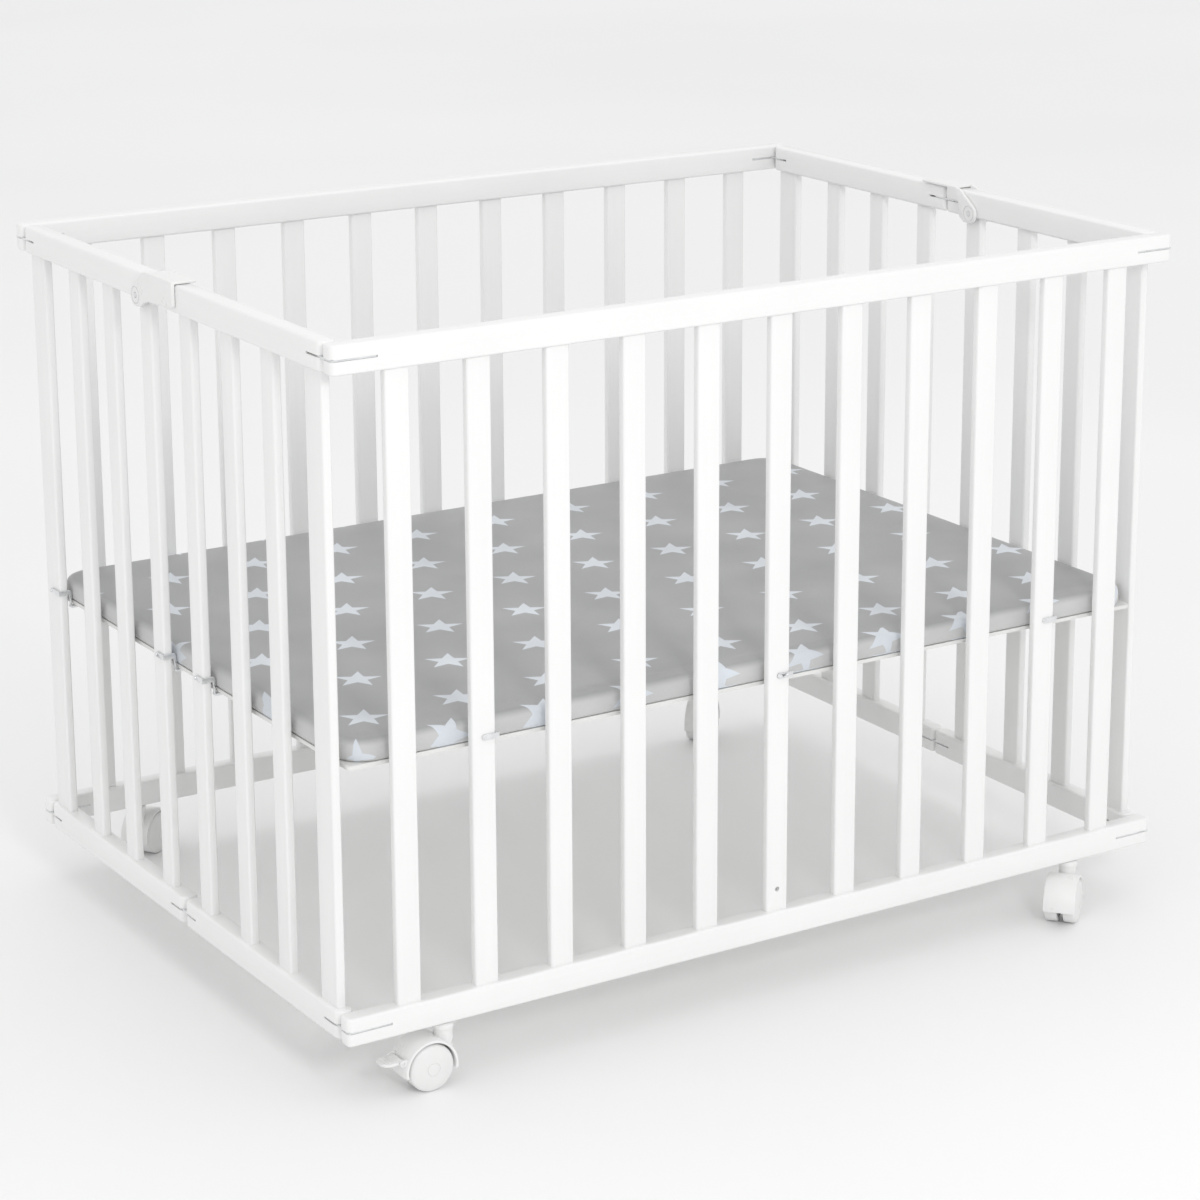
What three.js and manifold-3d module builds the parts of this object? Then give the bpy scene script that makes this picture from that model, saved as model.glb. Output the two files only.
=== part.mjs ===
// Folding wooden playpen on castors, in millimetres, +Z up.
// Origin: on the ground under the middle of the frame. +X runs along the length, the front panel is at -Y.
// Two long panels are whole. Each short side is split in the middle and folds outwards at three joints.
import * as THREE from 'three';
import { mergeVertices } from 'three/addons/utils/BufferGeometryUtils.js';
import Module from 'manifold-3d';

const wasm = await Module();
wasm.setup();

// Frame
const LENGTH = 1040;
const WIDTH = 762;
const FRAME_HEIGHT = 712;
const CASTOR_HEIGHT = 66;
const RAIL_DEPTH = 30;
const RAIL_THICKNESS = 20;
const RAIL_EDGE_RADIUS = 3;
const SLAT_WIDTH = 27;
const CORNER_SLAT_WIDTH = 36;
const SLAT_THICKNESS = 10;
const SLAT_EDGE_RADIUS = 2.5;
const LONG_SLATS = 11;
const LONG_SLAT_END_DISTANCE = 72.5;
const SIDE_SLAT_CORNER_DISTANCE = 49.5;
const SIDE_SLAT_MIDDLE_DISTANCE = 48;
const SIDE_SLAT_SHARES = [0, 0.3474, 0.6631, 1];
const TENON_SHOULDER = 4;
const TENON_LENGTH = 12;
const TENON_THICKNESS = 6;

// Folding joints of the short sides
const CORNER_GAP = 2;
const LINK_PITCH = 40;
const MID_GAP = 2.5;
const MID_OUTER_RADIUS = 10;
const MID_INNER_RADIUS = 6;
const PLATE_THICKNESS = 2;
const PLATE_WIDTH = 16;
const PLATE_SEAT_LENGTH = 50;
const SLOT_REACH = 12;
const HINGE_PIN_RADIUS = 2;

// Floor
const FLOOR_HEIGHT = 280;
const BOARD_THICKNESS = 4;
const PAD_THICKNESS = 22;
const PAD_SIDE_GAP = 9;
const PAD_END_GAP = 4;
const PAD_EDGE_RADIUS = 10;
const PAD_CORNER_RADIUS = 30;
const BOARD_INSET = 1;
const BOARD_CORNER_RADIUS = 5;
const FLOOR_AXIS_INSET = 42;
const FLOOR_AXIS_DROP = 3.5;
const EYE_RADIUS = 3.3;
const EYE_WIDTH = 3.5;
const FLOOR_PIN_RADIUS = 1.5;
const FOLD_HINGE_X = 250;
const KNUCKLE_WIDTH = 20;

// Hooks
const HOOK_THICKNESS = 2.5;
const HOOK_ARM_DEPTH = 5.6;
const HOOK_HEIGHT = 294;
const SPARE_HOLE_HEIGHT = 54;
const PEG_HOLE_RADIUS = 2.8;
const LEDGE_REACH = 12.5;
const LEDGE_WIDTH = 7;
const LONG_HOOK_SLATS = [1, 5, 9];

// Latches
const LATCH_PIVOT_DISTANCE = 50;
const LATCH_PIVOT_RISE = 5;
const LATCH_BOSS_RADIUS = 12;
const LATCH_REACH = 40;
const LATCH_CHEEK = 4;
const LATCH_PLATE = 3;
const LATCH_PLATE_START = 22;
const LATCH_CHEEK_END = 8;
const LATCH_SKIRT_CLEARANCE = 1.5;
const LATCH_BOLT_RADIUS = 3;

// Castors
const CASTOR_X = 408;
const WHEEL_RADIUS = 25;
const WHEEL_WIDTH = 17;
const WHEEL_DOME = 2.5;
const CASTOR_WEB = 6;
const CASTOR_TRAIL = 22;
const HOOD_RADIUS = 30;
const HOOD_THICKNESS = 3;
const HOOD_WIDTH = 36;
const HOOD_FOOT_ANGLE = 0.17;
const BOSS_RADIUS = 10;
const STEM_RADIUS = 4;
const STEM_LENGTH = 20;
const AXLE_RADIUS = 3;
const PEDAL_LENGTH = 20;
const PEDAL_WIDTH = 22;
const PEDAL_THICKNESS = 3;
const PEDAL_ANGLE = 0.35;
const BARREL_RADIUS = 2.8;
const EAR_WIDTH = 3;

// Clearances
const GAP = 0.3;
const BORE_PLAY = 0.3;
const PEG_PLAY = 0.4;
const ROUND_STEPS = 8;

// Derived levels and positions
const BOTTOM = CASTOR_HEIGHT;
const TOP = CASTOR_HEIGHT + FRAME_HEIGHT;
const TOP_RAIL_BOTTOM = TOP - RAIL_DEPTH;
const BOTTOM_RAIL_TOP = BOTTOM + RAIL_DEPTH;
const HALF_RAIL = RAIL_THICKNESS / 2;
const PANEL_Y = WIDTH / 2 - HALF_RAIL;
const SIDE_X = LENGTH / 2 - HALF_RAIL;
const PIVOT_Y = PANEL_Y - RAIL_THICKNESS - CORNER_GAP;
const MID_PIN_Y = LINK_PITCH / 2;
const HOOK_Z = BOTTOM + HOOK_HEIGHT;
const SPARE_Z = BOTTOM + SPARE_HOLE_HEIGHT;
const BOARD_Z = BOTTOM + FLOOR_HEIGHT;
const PAD_Z = BOARD_Z + BOARD_THICKNESS;
const PAD_TOP = PAD_Z + PAD_THICKNESS;
const FLOOR_AXIS_Z = BOARD_Z - FLOOR_AXIS_DROP;
const FLOOR_AXIS_Y = PANEL_Y - FLOOR_AXIS_INSET;
const PAD_HALF_X = SIDE_X - SLAT_THICKNESS / 2 - PAD_END_GAP;
const PAD_HALF_Y = PANEL_Y - SLAT_THICKNESS / 2 - PAD_SIDE_GAP;
const LATCH_Z = TOP_RAIL_BOTTOM + LATCH_PIVOT_RISE;
const WHEEL_OUTER = CASTOR_WEB / 2 + GAP + WHEEL_WIDTH;
const SLOT_LEVELS = { top: TOP - RAIL_DEPTH / 2, bottom: BOTTOM + RAIL_DEPTH / 2 };

const paint = new THREE.MeshStandardMaterial({ color: 0xf2f2f0, roughness: 0.45, metalness: 0 });
const boardWhite = new THREE.MeshStandardMaterial({ color: 0xe9e9e6, roughness: 0.6, metalness: 0 });
const cloth = new THREE.MeshStandardMaterial({ color: 0x8d9096, roughness: 0.8, metalness: 0 });
const plastic = new THREE.MeshStandardMaterial({ color: 0xf4f4f3, roughness: 0.35, metalness: 0 });
const wheelPlastic = new THREE.MeshStandardMaterial({ color: 0xeeeeec, roughness: 0.4, metalness: 0 });
const zinc = new THREE.MeshStandardMaterial({ color: 0xb9bcbe, roughness: 0.35, metalness: 1 });

/** A manifold-3d solid from a closed three.js geometry. */
function solid(geometry) {
  geometry.deleteAttribute('normal');
  geometry.deleteAttribute('uv');
  const merged = mergeVertices(geometry, 1e-4);
  return new wasm.Manifold(new wasm.Mesh({
    numProp: 3,
    vertProperties: merged.attributes.position.array,
    triVerts: new Uint32Array(merged.index.array),
  }));
}

/** A named mesh from a manifold-3d solid. */
function meshOf(name, body, material) {
  const data = body.getMesh();
  const indexed = new THREE.BufferGeometry();
  indexed.setAttribute('position', new THREE.BufferAttribute(new Float32Array(data.vertProperties), 3));
  indexed.setIndex(new THREE.BufferAttribute(new Uint32Array(data.triVerts), 1));
  const geometry = indexed.toNonIndexed();
  geometry.computeVertexNormals();
  const mesh = new THREE.Mesh(geometry, material);
  mesh.name = name;
  return mesh;
}

/** All of a list of solids joined into one. */
function join(solids) {
  return solids.reduce((sum, next) => sum.add(next));
}

/** The first solid with each solid of a list cut out of it. */
function cut(body, tools) {
  return tools.reduce((rest, tool) => rest.subtract(tool), body);
}

/** A box between two values on each axis. */
function box(x0, x1, y0, y1, z0, z1) {
  const geometry = new THREE.BoxGeometry(Math.abs(x1 - x0), Math.abs(y1 - y0), Math.abs(z1 - z0));
  return solid(geometry.translate((x0 + x1) / 2, (y0 + y1) / 2, (z0 + z1) / 2));
}

/** A cylinder of one radius between two points. */
function rod(from, to, radius, steps = ROUND_STEPS) {
  const start = new THREE.Vector3(...from);
  const along = new THREE.Vector3(...to).sub(start);
  const geometry = new THREE.CylinderGeometry(radius, radius, along.length(), steps);
  const turn = new THREE.Quaternion().setFromUnitVectors(
    new THREE.Vector3(0, 1, 0),
    along.clone().normalize(),
  );
  geometry.applyQuaternion(turn);
  return solid(geometry.translate(...start.addScaledVector(along, 0.5).toArray()));
}

/** An outline in the XY plane, extruded from one Z level to another. */
function prismZ(outline, z0, z1) {
  const shape = new THREE.Shape(outline.map(([x, y]) => new THREE.Vector2(x, y)));
  const geometry = new THREE.ExtrudeGeometry(shape, { depth: z1 - z0, bevelEnabled: false });
  return solid(geometry.translate(0, 0, z0));
}

/** An outline of (y, z) points, extruded from one X position to another. */
function prismX(outline, x0, x1) {
  const shape = new THREE.Shape(outline.map(([y, z]) => new THREE.Vector2(y, z)));
  const geometry = new THREE.ExtrudeGeometry(shape, { depth: x1 - x0, bevelEnabled: false });
  const turn = new THREE.Matrix4().set(0, 0, 1, x0, 1, 0, 0, 0, 0, 1, 0, 0, 0, 0, 0, 1);
  return solid(geometry.applyMatrix4(turn));
}

/** An outline of (x, z) points, extruded from one Y position to another. */
function prismY(outline, y0, y1) {
  const shape = new THREE.Shape(outline.map(([x, z]) => new THREE.Vector2(x, z)));
  const geometry = new THREE.ExtrudeGeometry(shape, { depth: y1 - y0, bevelEnabled: false });
  const turn = new THREE.Matrix4().set(1, 0, 0, 0, 0, 0, -1, y1, 0, 1, 0, 0, 0, 0, 0, 1);
  return solid(geometry.applyMatrix4(turn));
}

/** Points on an arc about a centre, both ends included. */
function arc([x, y], radius, from, to, steps) {
  const points = [];
  for (let i = 0; i <= steps; i += 1) {
    const angle = from + ((to - from) * i) / steps;
    points.push([x + radius * Math.cos(angle), y + radius * Math.sin(angle)]);
  }
  return points;
}

/** A rectangle's outline with a radius of its own at each corner, from low x, low y anticlockwise. */
function roundedRectangle(x0, x1, y0, y1, radii, steps = 1) {
  const corners = [
    [x0, y0, 1, 1],
    [x1, y0, -1, 1],
    [x1, y1, -1, -1],
    [x0, y1, 1, -1],
  ];
  return corners.flatMap(([x, y, inX, inY], i) => {
    const start = Math.PI + (i * Math.PI) / 2;
    const centre = [x + inX * radii[i], y + inY * radii[i]];
    return radii[i] > 0 ? arc(centre, radii[i], start, start + Math.PI / 2, steps) : [[x, y]];
  });
}

/** The centre of each of a long panel's slats. */
function longSlatCentres() {
  const first = -LENGTH / 2 + LONG_SLAT_END_DISTANCE;
  return Array.from({ length: LONG_SLATS }, (_, i) => first - (2 * first * i) / (LONG_SLATS - 1));
}

/** The front panel: its two rails with slats, corner plates and hooks, as named meshes. */
function longPanel(name) {
  const y = -PANEL_Y;
  const centres = longSlatCentres();
  const hooked = LONG_HOOK_SLATS.map((i) => centres[i]);
  const edge = Array(4).fill(RAIL_EDGE_RADIUS);
  const seats = [-1, 1].map((end) => [end, end * (LENGTH / 2 - PLATE_SEAT_LENGTH), end * (LENGTH / 2 + 1)]);

  const rail = (z0, level) => {
    const bar = prismX(
      roundedRectangle(y - HALF_RAIL, y + HALF_RAIL, z0, z0 + RAIL_DEPTH, edge),
      -LENGTH / 2,
      LENGTH / 2,
    );
    const half = PLATE_THICKNESS / 2 + GAP;
    return cut(bar, seats.flatMap(([end, inner, outer]) => {
      const pinX = end * (LENGTH / 2 - PLATE_SEAT_LENGTH + PLATE_WIDTH / 2);
      return [
        box(inner, outer, y - HALF_RAIL - 1, y + HALF_RAIL + 1, level - half, level + half),
        rod([pinX, y, z0 - 1], [pinX, y, level + 12], HINGE_PIN_RADIUS + BORE_PLAY),
      ];
    }));
  };

  const slat = (x) => prismZ(
    roundedRectangle(
      x - SLAT_WIDTH / 2,
      x + SLAT_WIDTH / 2,
      y - SLAT_THICKNESS / 2,
      y + SLAT_THICKNESS / 2,
      Array(4).fill(SLAT_EDGE_RADIUS),
    ),
    BOTTOM_RAIL_TOP - 2,
    TOP_RAIL_BOTTOM - GAP / 2,
  );
  const tenon = (x, play) => {
    const halfWidth = SLAT_WIDTH / 2 - TENON_SHOULDER + play;
    const halfThickness = TENON_THICKNESS / 2 + play;
    const z = TOP_RAIL_BOTTOM;
    const top = z + TENON_LENGTH + play;
    return box(x - halfWidth, x + halfWidth, y - halfThickness, y + halfThickness, z - 1, top);
  };
  const stemBore = (x) => rod(
    [x, y, BOTTOM - 1],
    [x, y, BOTTOM + STEM_LENGTH + 2],
    STEM_RADIUS + BORE_PLAY,
    16,
  );
  const pegHole = (x, z) => rod([x, y - SLAT_THICKNESS, z], [x, y + SLAT_THICKNESS, z], PEG_HOLE_RADIUS);

  const topRail = cut(rail(TOP_RAIL_BOTTOM, SLOT_LEVELS.top), centres.map((x) => tenon(x, GAP / 2)));
  const grid = cut(
    join([rail(BOTTOM, SLOT_LEVELS.bottom), ...centres.flatMap((x) => [slat(x), tenon(x, 0)])]),
    [
      ...[-CASTOR_X, CASTOR_X].map(stemBore),
      ...hooked.flatMap((x) => [pegHole(x, HOOK_Z), pegHole(x, SPARE_Z)]),
    ],
  );

  return [
    meshOf(`${name}_top_rail`, topRail, paint),
    meshOf(`${name}_slat_grid`, grid, paint),
    ...hooked.map((x, i) => longHook(`hook_${name}_${i + 1}`, x)),
  ];
}

/** The (y, z) position of the front floor axis. */
function frontFloorAxis() {
  return [-FLOOR_AXIS_Y, FLOOR_AXIS_Z];
}

/** X of the middle of a long hook's plate, for the slat centred at x. */
function hookPlateX(x) {
  return x + SLAT_WIDTH / 2 + GAP + HOOK_THICKNESS / 2;
}

/** A front hook: an arm pegged to the slat's outer face, wrapped inwards to the floor's axis pin. */
function longHook(name, x) {
  const slatOuter = -PANEL_Y - SLAT_THICKNESS / 2;
  const armBack = slatOuter - GAP;
  const armFace = armBack - HOOK_THICKNESS;
  const plateX = hookPlateX(x);
  const plateRight = plateX + HOOK_THICKNESS / 2;
  const [axisY, axisZ] = frontFloorAxis();
  const tip = EYE_RADIUS - 0.2;
  const armHalf = HOOK_ARM_DEPTH / 2;
  const armTop = HOOK_Z + armHalf;
  const armBottom = HOOK_Z - armHalf;
  const slatInner = slatOuter + SLAT_THICKNESS;
  const arm = prismY(
    [
      [plateRight, armBottom],
      [plateRight, armTop],
      ...arc([x, HOOK_Z], armHalf, Math.PI / 2, Math.PI * 1.5, 5),
    ],
    armFace,
    armBack,
  );
  const web = prismX(
    [
      [armFace, armBottom],
      [slatInner, armBottom],
      [slatInner + 5, axisZ - tip],
      [axisY, axisZ - tip],
      ...arc([axisY, axisZ], tip, -Math.PI / 2, Math.PI / 2, 6),
      [-PAD_HALF_Y - 0.5, axisZ + tip],
      [-PAD_HALF_Y - 0.5, armTop],
      [armFace, armTop],
    ],
    plateX - HOOK_THICKNESS / 2,
    plateRight,
  );
  const pegEnd = slatOuter + SLAT_THICKNESS - 1;
  const peg = rod([x, armFace + 1, HOOK_Z], [x, pegEnd, HOOK_Z], PEG_HOLE_RADIUS - PEG_PLAY);
  const pinHalf = HOOK_THICKNESS / 2 + 1 + EYE_WIDTH;
  const pin = rod([plateX - pinHalf, axisY, axisZ], [plateX + pinHalf, axisY, axisZ], FLOOR_PIN_RADIUS);
  return meshOf(name, join([arm, web, peg, pin]), zinc);
}

/** The four corner hinge plates of the front panel, each with its pivot pin and its fixing pin. */
function cornerPlates(panelName, endNames) {
  const inner = LENGTH / 2 - PLATE_SEAT_LENGTH;
  const seatFront = -PANEL_Y - HALF_RAIL + 1;
  const seatBack = -PANEL_Y + HALF_RAIL;
  const half = PLATE_WIDTH / 2;
  const meshes = [];
  for (const [end, endName] of [[-1, endNames[0]], [1, endNames[1]]]) {
    const pivot = [end * SIDE_X, -PIVOT_Y];
    const fixingX = end * (inner + half);
    const outline = [
      [end * (inner + 1), seatFront],
      [end * (LENGTH / 2 - 1), seatFront],
      [end * (LENGTH / 2 - 1), seatBack],
      ...arc(pivot, half, 0, Math.PI, 6).sort((a, b) => end * (b[0] - a[0])),
      [end * (SIDE_X - half), seatBack],
      [end * (inner + 1), seatBack],
    ];
    for (const [levelName, level] of Object.entries(SLOT_LEVELS)) {
      const railBottom = level - RAIL_DEPTH / 2;
      const pinBottom = railBottom + 1;
      const body = join([
        prismZ(outline, level - PLATE_THICKNESS / 2, level + PLATE_THICKNESS / 2),
        rod([...pivot, pinBottom], [...pivot, level + 12], HINGE_PIN_RADIUS),
        rod([fixingX, -PANEL_Y, pinBottom], [fixingX, -PANEL_Y, level + 11], HINGE_PIN_RADIUS),
      ]);
      meshes.push(meshOf(`corner_plate_${panelName}_${endName}_${levelName}`, body, zinc));
    }
  }
  return meshes;
}

/** Y of each side slat of the rear half, from the corner to the middle joint. */
function sideSlatCentres() {
  const first = WIDTH / 2 - SIDE_SLAT_CORNER_DISTANCE;
  return SIDE_SLAT_SHARES.map((share) => first - share * (first - SIDE_SLAT_MIDDLE_DISTANCE));
}

/**
 * One half of the left side. toward is 1 for the rear half and -1 for the front half; with latched,
 * the half carries the latch bolt's bore.
 */
function sideHalf(name, toward, latched) {
  const x = -SIDE_X;
  const cornerEnd = PIVOT_Y + HALF_RAIL;
  const midEnd = MID_GAP / 2;
  const innerTurn = [x + HALF_RAIL - MID_INNER_RADIUS, midEnd + MID_INNER_RADIUS];
  const outerTurn = [x - HALF_RAIL + MID_OUTER_RADIUS, midEnd + MID_OUTER_RADIUS];
  const outline = [
    ...arc([x, PIVOT_Y], HALF_RAIL, Math.PI, 0, 8),
    ...arc(innerTurn, MID_INNER_RADIUS, 0, -Math.PI / 2, 3),
    ...arc(outerTurn, MID_OUTER_RADIUS, -Math.PI / 2, -Math.PI, 3),
  ].map(([px, py]) => [px, toward * py]);
  const section = (z0) => roundedRectangle(
    x - HALF_RAIL,
    x + HALF_RAIL,
    z0,
    z0 + RAIL_DEPTH,
    Array(4).fill(RAIL_EDGE_RADIUS),
  );
  const yRange = [toward * (cornerEnd + 1), toward * (midEnd - 1)].sort((a, b) => a - b);

  const rail = (z0, level) => {
    const bar = prismY(section(z0), ...yRange).intersect(prismZ(outline, z0, z0 + RAIL_DEPTH));
    const half = PLATE_THICKNESS / 2 + GAP;
    const slot = (ya, yb) => box(
      x - HALF_RAIL - 1,
      x + HALF_RAIL + 1,
      toward * ya,
      toward * yb,
      level - half,
      level + half,
    );
    const bore = (y) => rod(
      [x, toward * y, z0 - 1],
      [x, toward * y, level + 12 + GAP],
      HINGE_PIN_RADIUS + BORE_PLAY,
    );
    return cut(bar, [
      slot(PIVOT_Y - PLATE_WIDTH / 2 - SLOT_REACH, cornerEnd + 2),
      slot(-2, MID_PIN_Y + PLATE_WIDTH / 2 + 3),
      bore(PIVOT_Y),
      bore(MID_PIN_Y),
    ]);
  };

  const slats = sideSlatCentres().map((y, i, all) => ({
    y: toward * y,
    width: i === 0 ? CORNER_SLAT_WIDTH : SLAT_WIDTH,
    holed: i === 0 || i === all.length - 1,
  }));
  const slat = ({ y, width }) => prismZ(
    roundedRectangle(
      x - SLAT_THICKNESS / 2,
      x + SLAT_THICKNESS / 2,
      y - width / 2,
      y + width / 2,
      Array(4).fill(SLAT_EDGE_RADIUS),
    ),
    BOTTOM_RAIL_TOP - 2,
    TOP_RAIL_BOTTOM - GAP / 2,
  );
  const tenon = ({ y, width }, play) => {
    const halfWidth = width / 2 - TENON_SHOULDER + play;
    const halfThickness = TENON_THICKNESS / 2 + play;
    const z = TOP_RAIL_BOTTOM;
    const top = z + TENON_LENGTH + play;
    return box(x - halfThickness, x + halfThickness, y - halfWidth, y + halfWidth, z - 1, top);
  };
  const pegHole = (y, z) => rod([x - SLAT_THICKNESS, y, z], [x + SLAT_THICKNESS, y, z], PEG_HOLE_RADIUS);
  const boltBore = latched
    ? [rod(
      [x - RAIL_THICKNESS, toward * LATCH_PIVOT_DISTANCE, LATCH_Z],
      [x + RAIL_THICKNESS, toward * LATCH_PIVOT_DISTANCE, LATCH_Z],
      LATCH_BOLT_RADIUS + BORE_PLAY,
    )]
    : [];

  const topRail = cut(rail(TOP_RAIL_BOTTOM, SLOT_LEVELS.top), [
    ...slats.map((s) => tenon(s, GAP / 2)),
    ...boltBore,
  ]);
  const grid = cut(
    join([rail(BOTTOM, SLOT_LEVELS.bottom), ...slats.flatMap((s) => [slat(s), tenon(s, 0)])]),
    [
      ...slats.filter((s) => s.holed).flatMap((s) => [pegHole(s.y, HOOK_Z), pegHole(s.y, SPARE_Z)]),
      ...boltBore,
    ],
  );
  return [
    meshOf(`${name}_top_rail`, topRail, paint),
    meshOf(`${name}_slat_grid`, grid, paint),
  ];
}

/** A left hook: an arm pegged to the slat's outer face, wrapped inwards to a ledge under the board. */
function sideHook(name, y, width) {
  const slatOuter = -SIDE_X - SLAT_THICKNESS / 2;
  const armBack = slatOuter - GAP;
  const armFace = armBack - HOOK_THICKNESS;
  const ledgeEnd = -SIDE_X + SLAT_THICKNESS / 2 + LEDGE_REACH;
  const wrapBack = y - width / 2 - GAP;
  const wrapFront = wrapBack - HOOK_THICKNESS;
  const armHalf = HOOK_ARM_DEPTH / 2;
  const armTop = HOOK_Z + armHalf;
  const ledgeTop = BOARD_Z - GAP;
  const ledgeBottom = ledgeTop - HOOK_THICKNESS;
  const padClear = -PAD_HALF_X - 1;
  const arm = prismX(
    [
      [wrapFront, HOOK_Z - armHalf],
      ...arc([y, HOOK_Z], armHalf, -Math.PI / 2, Math.PI / 2, 5),
      [wrapFront, armTop],
    ],
    armFace,
    armBack,
  );
  const wrap = prismY(
    [
      [armFace, ledgeBottom],
      [ledgeEnd, ledgeBottom],
      [ledgeEnd, ledgeTop],
      [padClear, ledgeTop],
      [padClear, armTop],
      [armFace, armTop],
    ],
    wrapFront,
    wrapBack,
  );
  const slatInner = -SIDE_X + SLAT_THICKNESS / 2 + GAP;
  const ledge = box(slatInner, ledgeEnd, wrapBack - LEDGE_WIDTH, wrapBack, ledgeBottom, ledgeTop);
  const pegEnd = slatOuter + SLAT_THICKNESS - 1;
  const peg = rod([armFace + 1, y, HOOK_Z], [pegEnd, y, HOOK_Z], PEG_HOLE_RADIUS - PEG_PLAY);
  return meshOf(name, join([arm, wrap, ledge, peg]), zinc);
}

/** A link plate with its two pins, at the left side's middle joint. */
function linkPlate(name, level) {
  const x = -SIDE_X;
  const half = PLATE_WIDTH / 2;
  const outline = [
    ...arc([x, MID_PIN_Y], half, 0, Math.PI, 6),
    ...arc([x, -MID_PIN_Y], half, Math.PI, 2 * Math.PI, 6),
  ];
  const pinBottom = level - RAIL_DEPTH / 2 + 1;
  return meshOf(name, join([
    prismZ(outline, level - PLATE_THICKNESS / 2, level + PLATE_THICKNESS / 2),
    ...[-MID_PIN_Y, MID_PIN_Y].map((y) => rod([x, y, pinBottom], [x, y, level + 12], HINGE_PIN_RADIUS)),
  ]), zinc);
}

/** The left latch cap: two cheeks and a top plate, turning about the bolt through the rear half's rail. */
function latchCap(name) {
  const x = -SIDE_X;
  const outerFace = x - HALF_RAIL - GAP;
  const innerFace = x + HALF_RAIL + GAP;
  const pivot = [LATCH_PIVOT_DISTANCE, LATCH_Z];
  const plateBottom = TOP + 0.5;
  const plateTop = plateBottom + LATCH_PLATE;
  const plateEnd = LATCH_PIVOT_DISTANCE - LATCH_PLATE_START - 6;
  const bossAndBack = [
    ...arc(pivot, LATCH_BOSS_RADIUS, -Math.PI / 2, Math.PI / 2.6, 12),
    [plateEnd, plateTop],
  ];
  const outerCheek = [
    ...bossAndBack,
    [-LATCH_REACH, plateTop],
    [-LATCH_REACH, TOP_RAIL_BOTTOM + 10],
  ];
  // The link plate swings out under the inner cheek's end, so that end is only a skirt.
  const skirtBottom = SLOT_LEVELS.top + PLATE_THICKNESS / 2 + LATCH_SKIRT_CLEARANCE;
  const skirtEnd = MID_PIN_Y + PLATE_WIDTH / 2 + LATCH_SKIRT_CLEARANCE;
  const innerCheek = [
    ...bossAndBack,
    [LATCH_CHEEK_END, plateTop],
    [LATCH_CHEEK_END, skirtBottom],
    [skirtEnd, skirtBottom],
    [skirtEnd, TOP_RAIL_BOTTOM + 4],
  ];
  const body = join([
    prismX(outerCheek, outerFace - LATCH_CHEEK, outerFace),
    prismX(innerCheek, innerFace, innerFace + LATCH_CHEEK),
    box(outerFace - LATCH_CHEEK, innerFace + LATCH_CHEEK, -LATCH_REACH, plateEnd, plateBottom, plateTop),
  ]);
  const bore = rod(
    [outerFace - LATCH_CHEEK - 1, ...pivot],
    [innerFace + LATCH_CHEEK + 1, ...pivot],
    LATCH_BOLT_RADIUS + BORE_PLAY,
  );
  return meshOf(name, cut(body, [bore]), plastic);
}

/** The left latch's pivot bolt, flush with both cheeks. */
function latchBolt(name) {
  const reach = HALF_RAIL + GAP + LATCH_CHEEK;
  return meshOf(name, rod(
    [-SIDE_X - reach, LATCH_PIVOT_DISTANCE, LATCH_Z],
    [-SIDE_X + reach, LATCH_PIVOT_DISTANCE, LATCH_Z],
    LATCH_BOLT_RADIUS,
  ), zinc);
}

/** X of the middle of each hook plate of the front half (toward -1) or of the rear half (toward 1). */
function floorPlateXs(toward) {
  return LONG_HOOK_SLATS.map((i) => -toward * hookPlateX(longSlatCentres()[i]));
}

/** One half of the floor board, with eyes for the hook pins and its share of the fold's knuckles. */
function floorBoard(name, toward) {
  const inset = BOARD_INSET;
  const outline = roundedRectangle(
    -PAD_HALF_X + inset,
    PAD_HALF_X - inset,
    GAP,
    PAD_HALF_Y - inset,
    [0, 0, BOARD_CORNER_RADIUS, BOARD_CORNER_RADIUS],
    3,
  ).map(([x, y]) => [x, toward * y]);
  const board = cut(prismZ(outline, BOARD_Z, PAD_Z), plateSlits(toward, 5, BOARD_Z - 1, PAD_Z + 1));
  const eye = (x0, x1, y) => {
    const inward = y === 0 ? toward : -toward;
    const block = box(x0, x1, y + inward * 8, y, FLOOR_AXIS_Z, BOARD_Z + 0.5);
    return join([rod([x0, y, FLOOR_AXIS_Z], [x1, y, FLOOR_AXIS_Z], EYE_RADIUS), block]);
  };
  const slitHalf = HOOK_THICKNESS / 2 + 1;
  const axisEyes = floorPlateXs(toward).flatMap((x) => [
    eye(x - slitHalf - EYE_WIDTH, x - slitHalf, toward * FLOOR_AXIS_Y),
    eye(x + slitHalf, x + slitHalf + EYE_WIDTH, toward * FLOOR_AXIS_Y),
  ]);
  const half = KNUCKLE_WIDTH / 2;
  const spans = toward > 0
    ? [[-3 * half, -half - GAP / 2], [half + GAP / 2, 3 * half]]
    : [[-half + GAP / 2, half - GAP / 2]];
  const knuckles = [-FOLD_HINGE_X, FOLD_HINGE_X].flatMap((x) => spans.map(([a, b]) => eye(x + a, x + b, 0)));
  const bore = (y, reach) => rod(
    [-reach, y, FLOOR_AXIS_Z],
    [reach, y, FLOOR_AXIS_Z],
    FLOOR_PIN_RADIUS + BORE_PLAY,
  );
  const bored = cut(join([...axisEyes, ...knuckles]), [
    bore(toward * FLOOR_AXIS_Y, LENGTH / 2),
    bore(0, LENGTH / 2),
  ]);
  return meshOf(name, board.add(bored), boardWhite);
}

/** The slits through one half of the floor for the hooks' plates, to a reach inside the axis, from z0 to z1. */
function plateSlits(toward, reach, z0, z1) {
  const slitHalf = HOOK_THICKNESS / 2 + 1;
  const inner = toward * (FLOOR_AXIS_Y - reach);
  const outer = toward * (PAD_HALF_Y + 5);
  return floorPlateXs(toward).map((x) => box(x - slitHalf, x + slitHalf, inner, outer, z0, z1));
}

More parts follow.
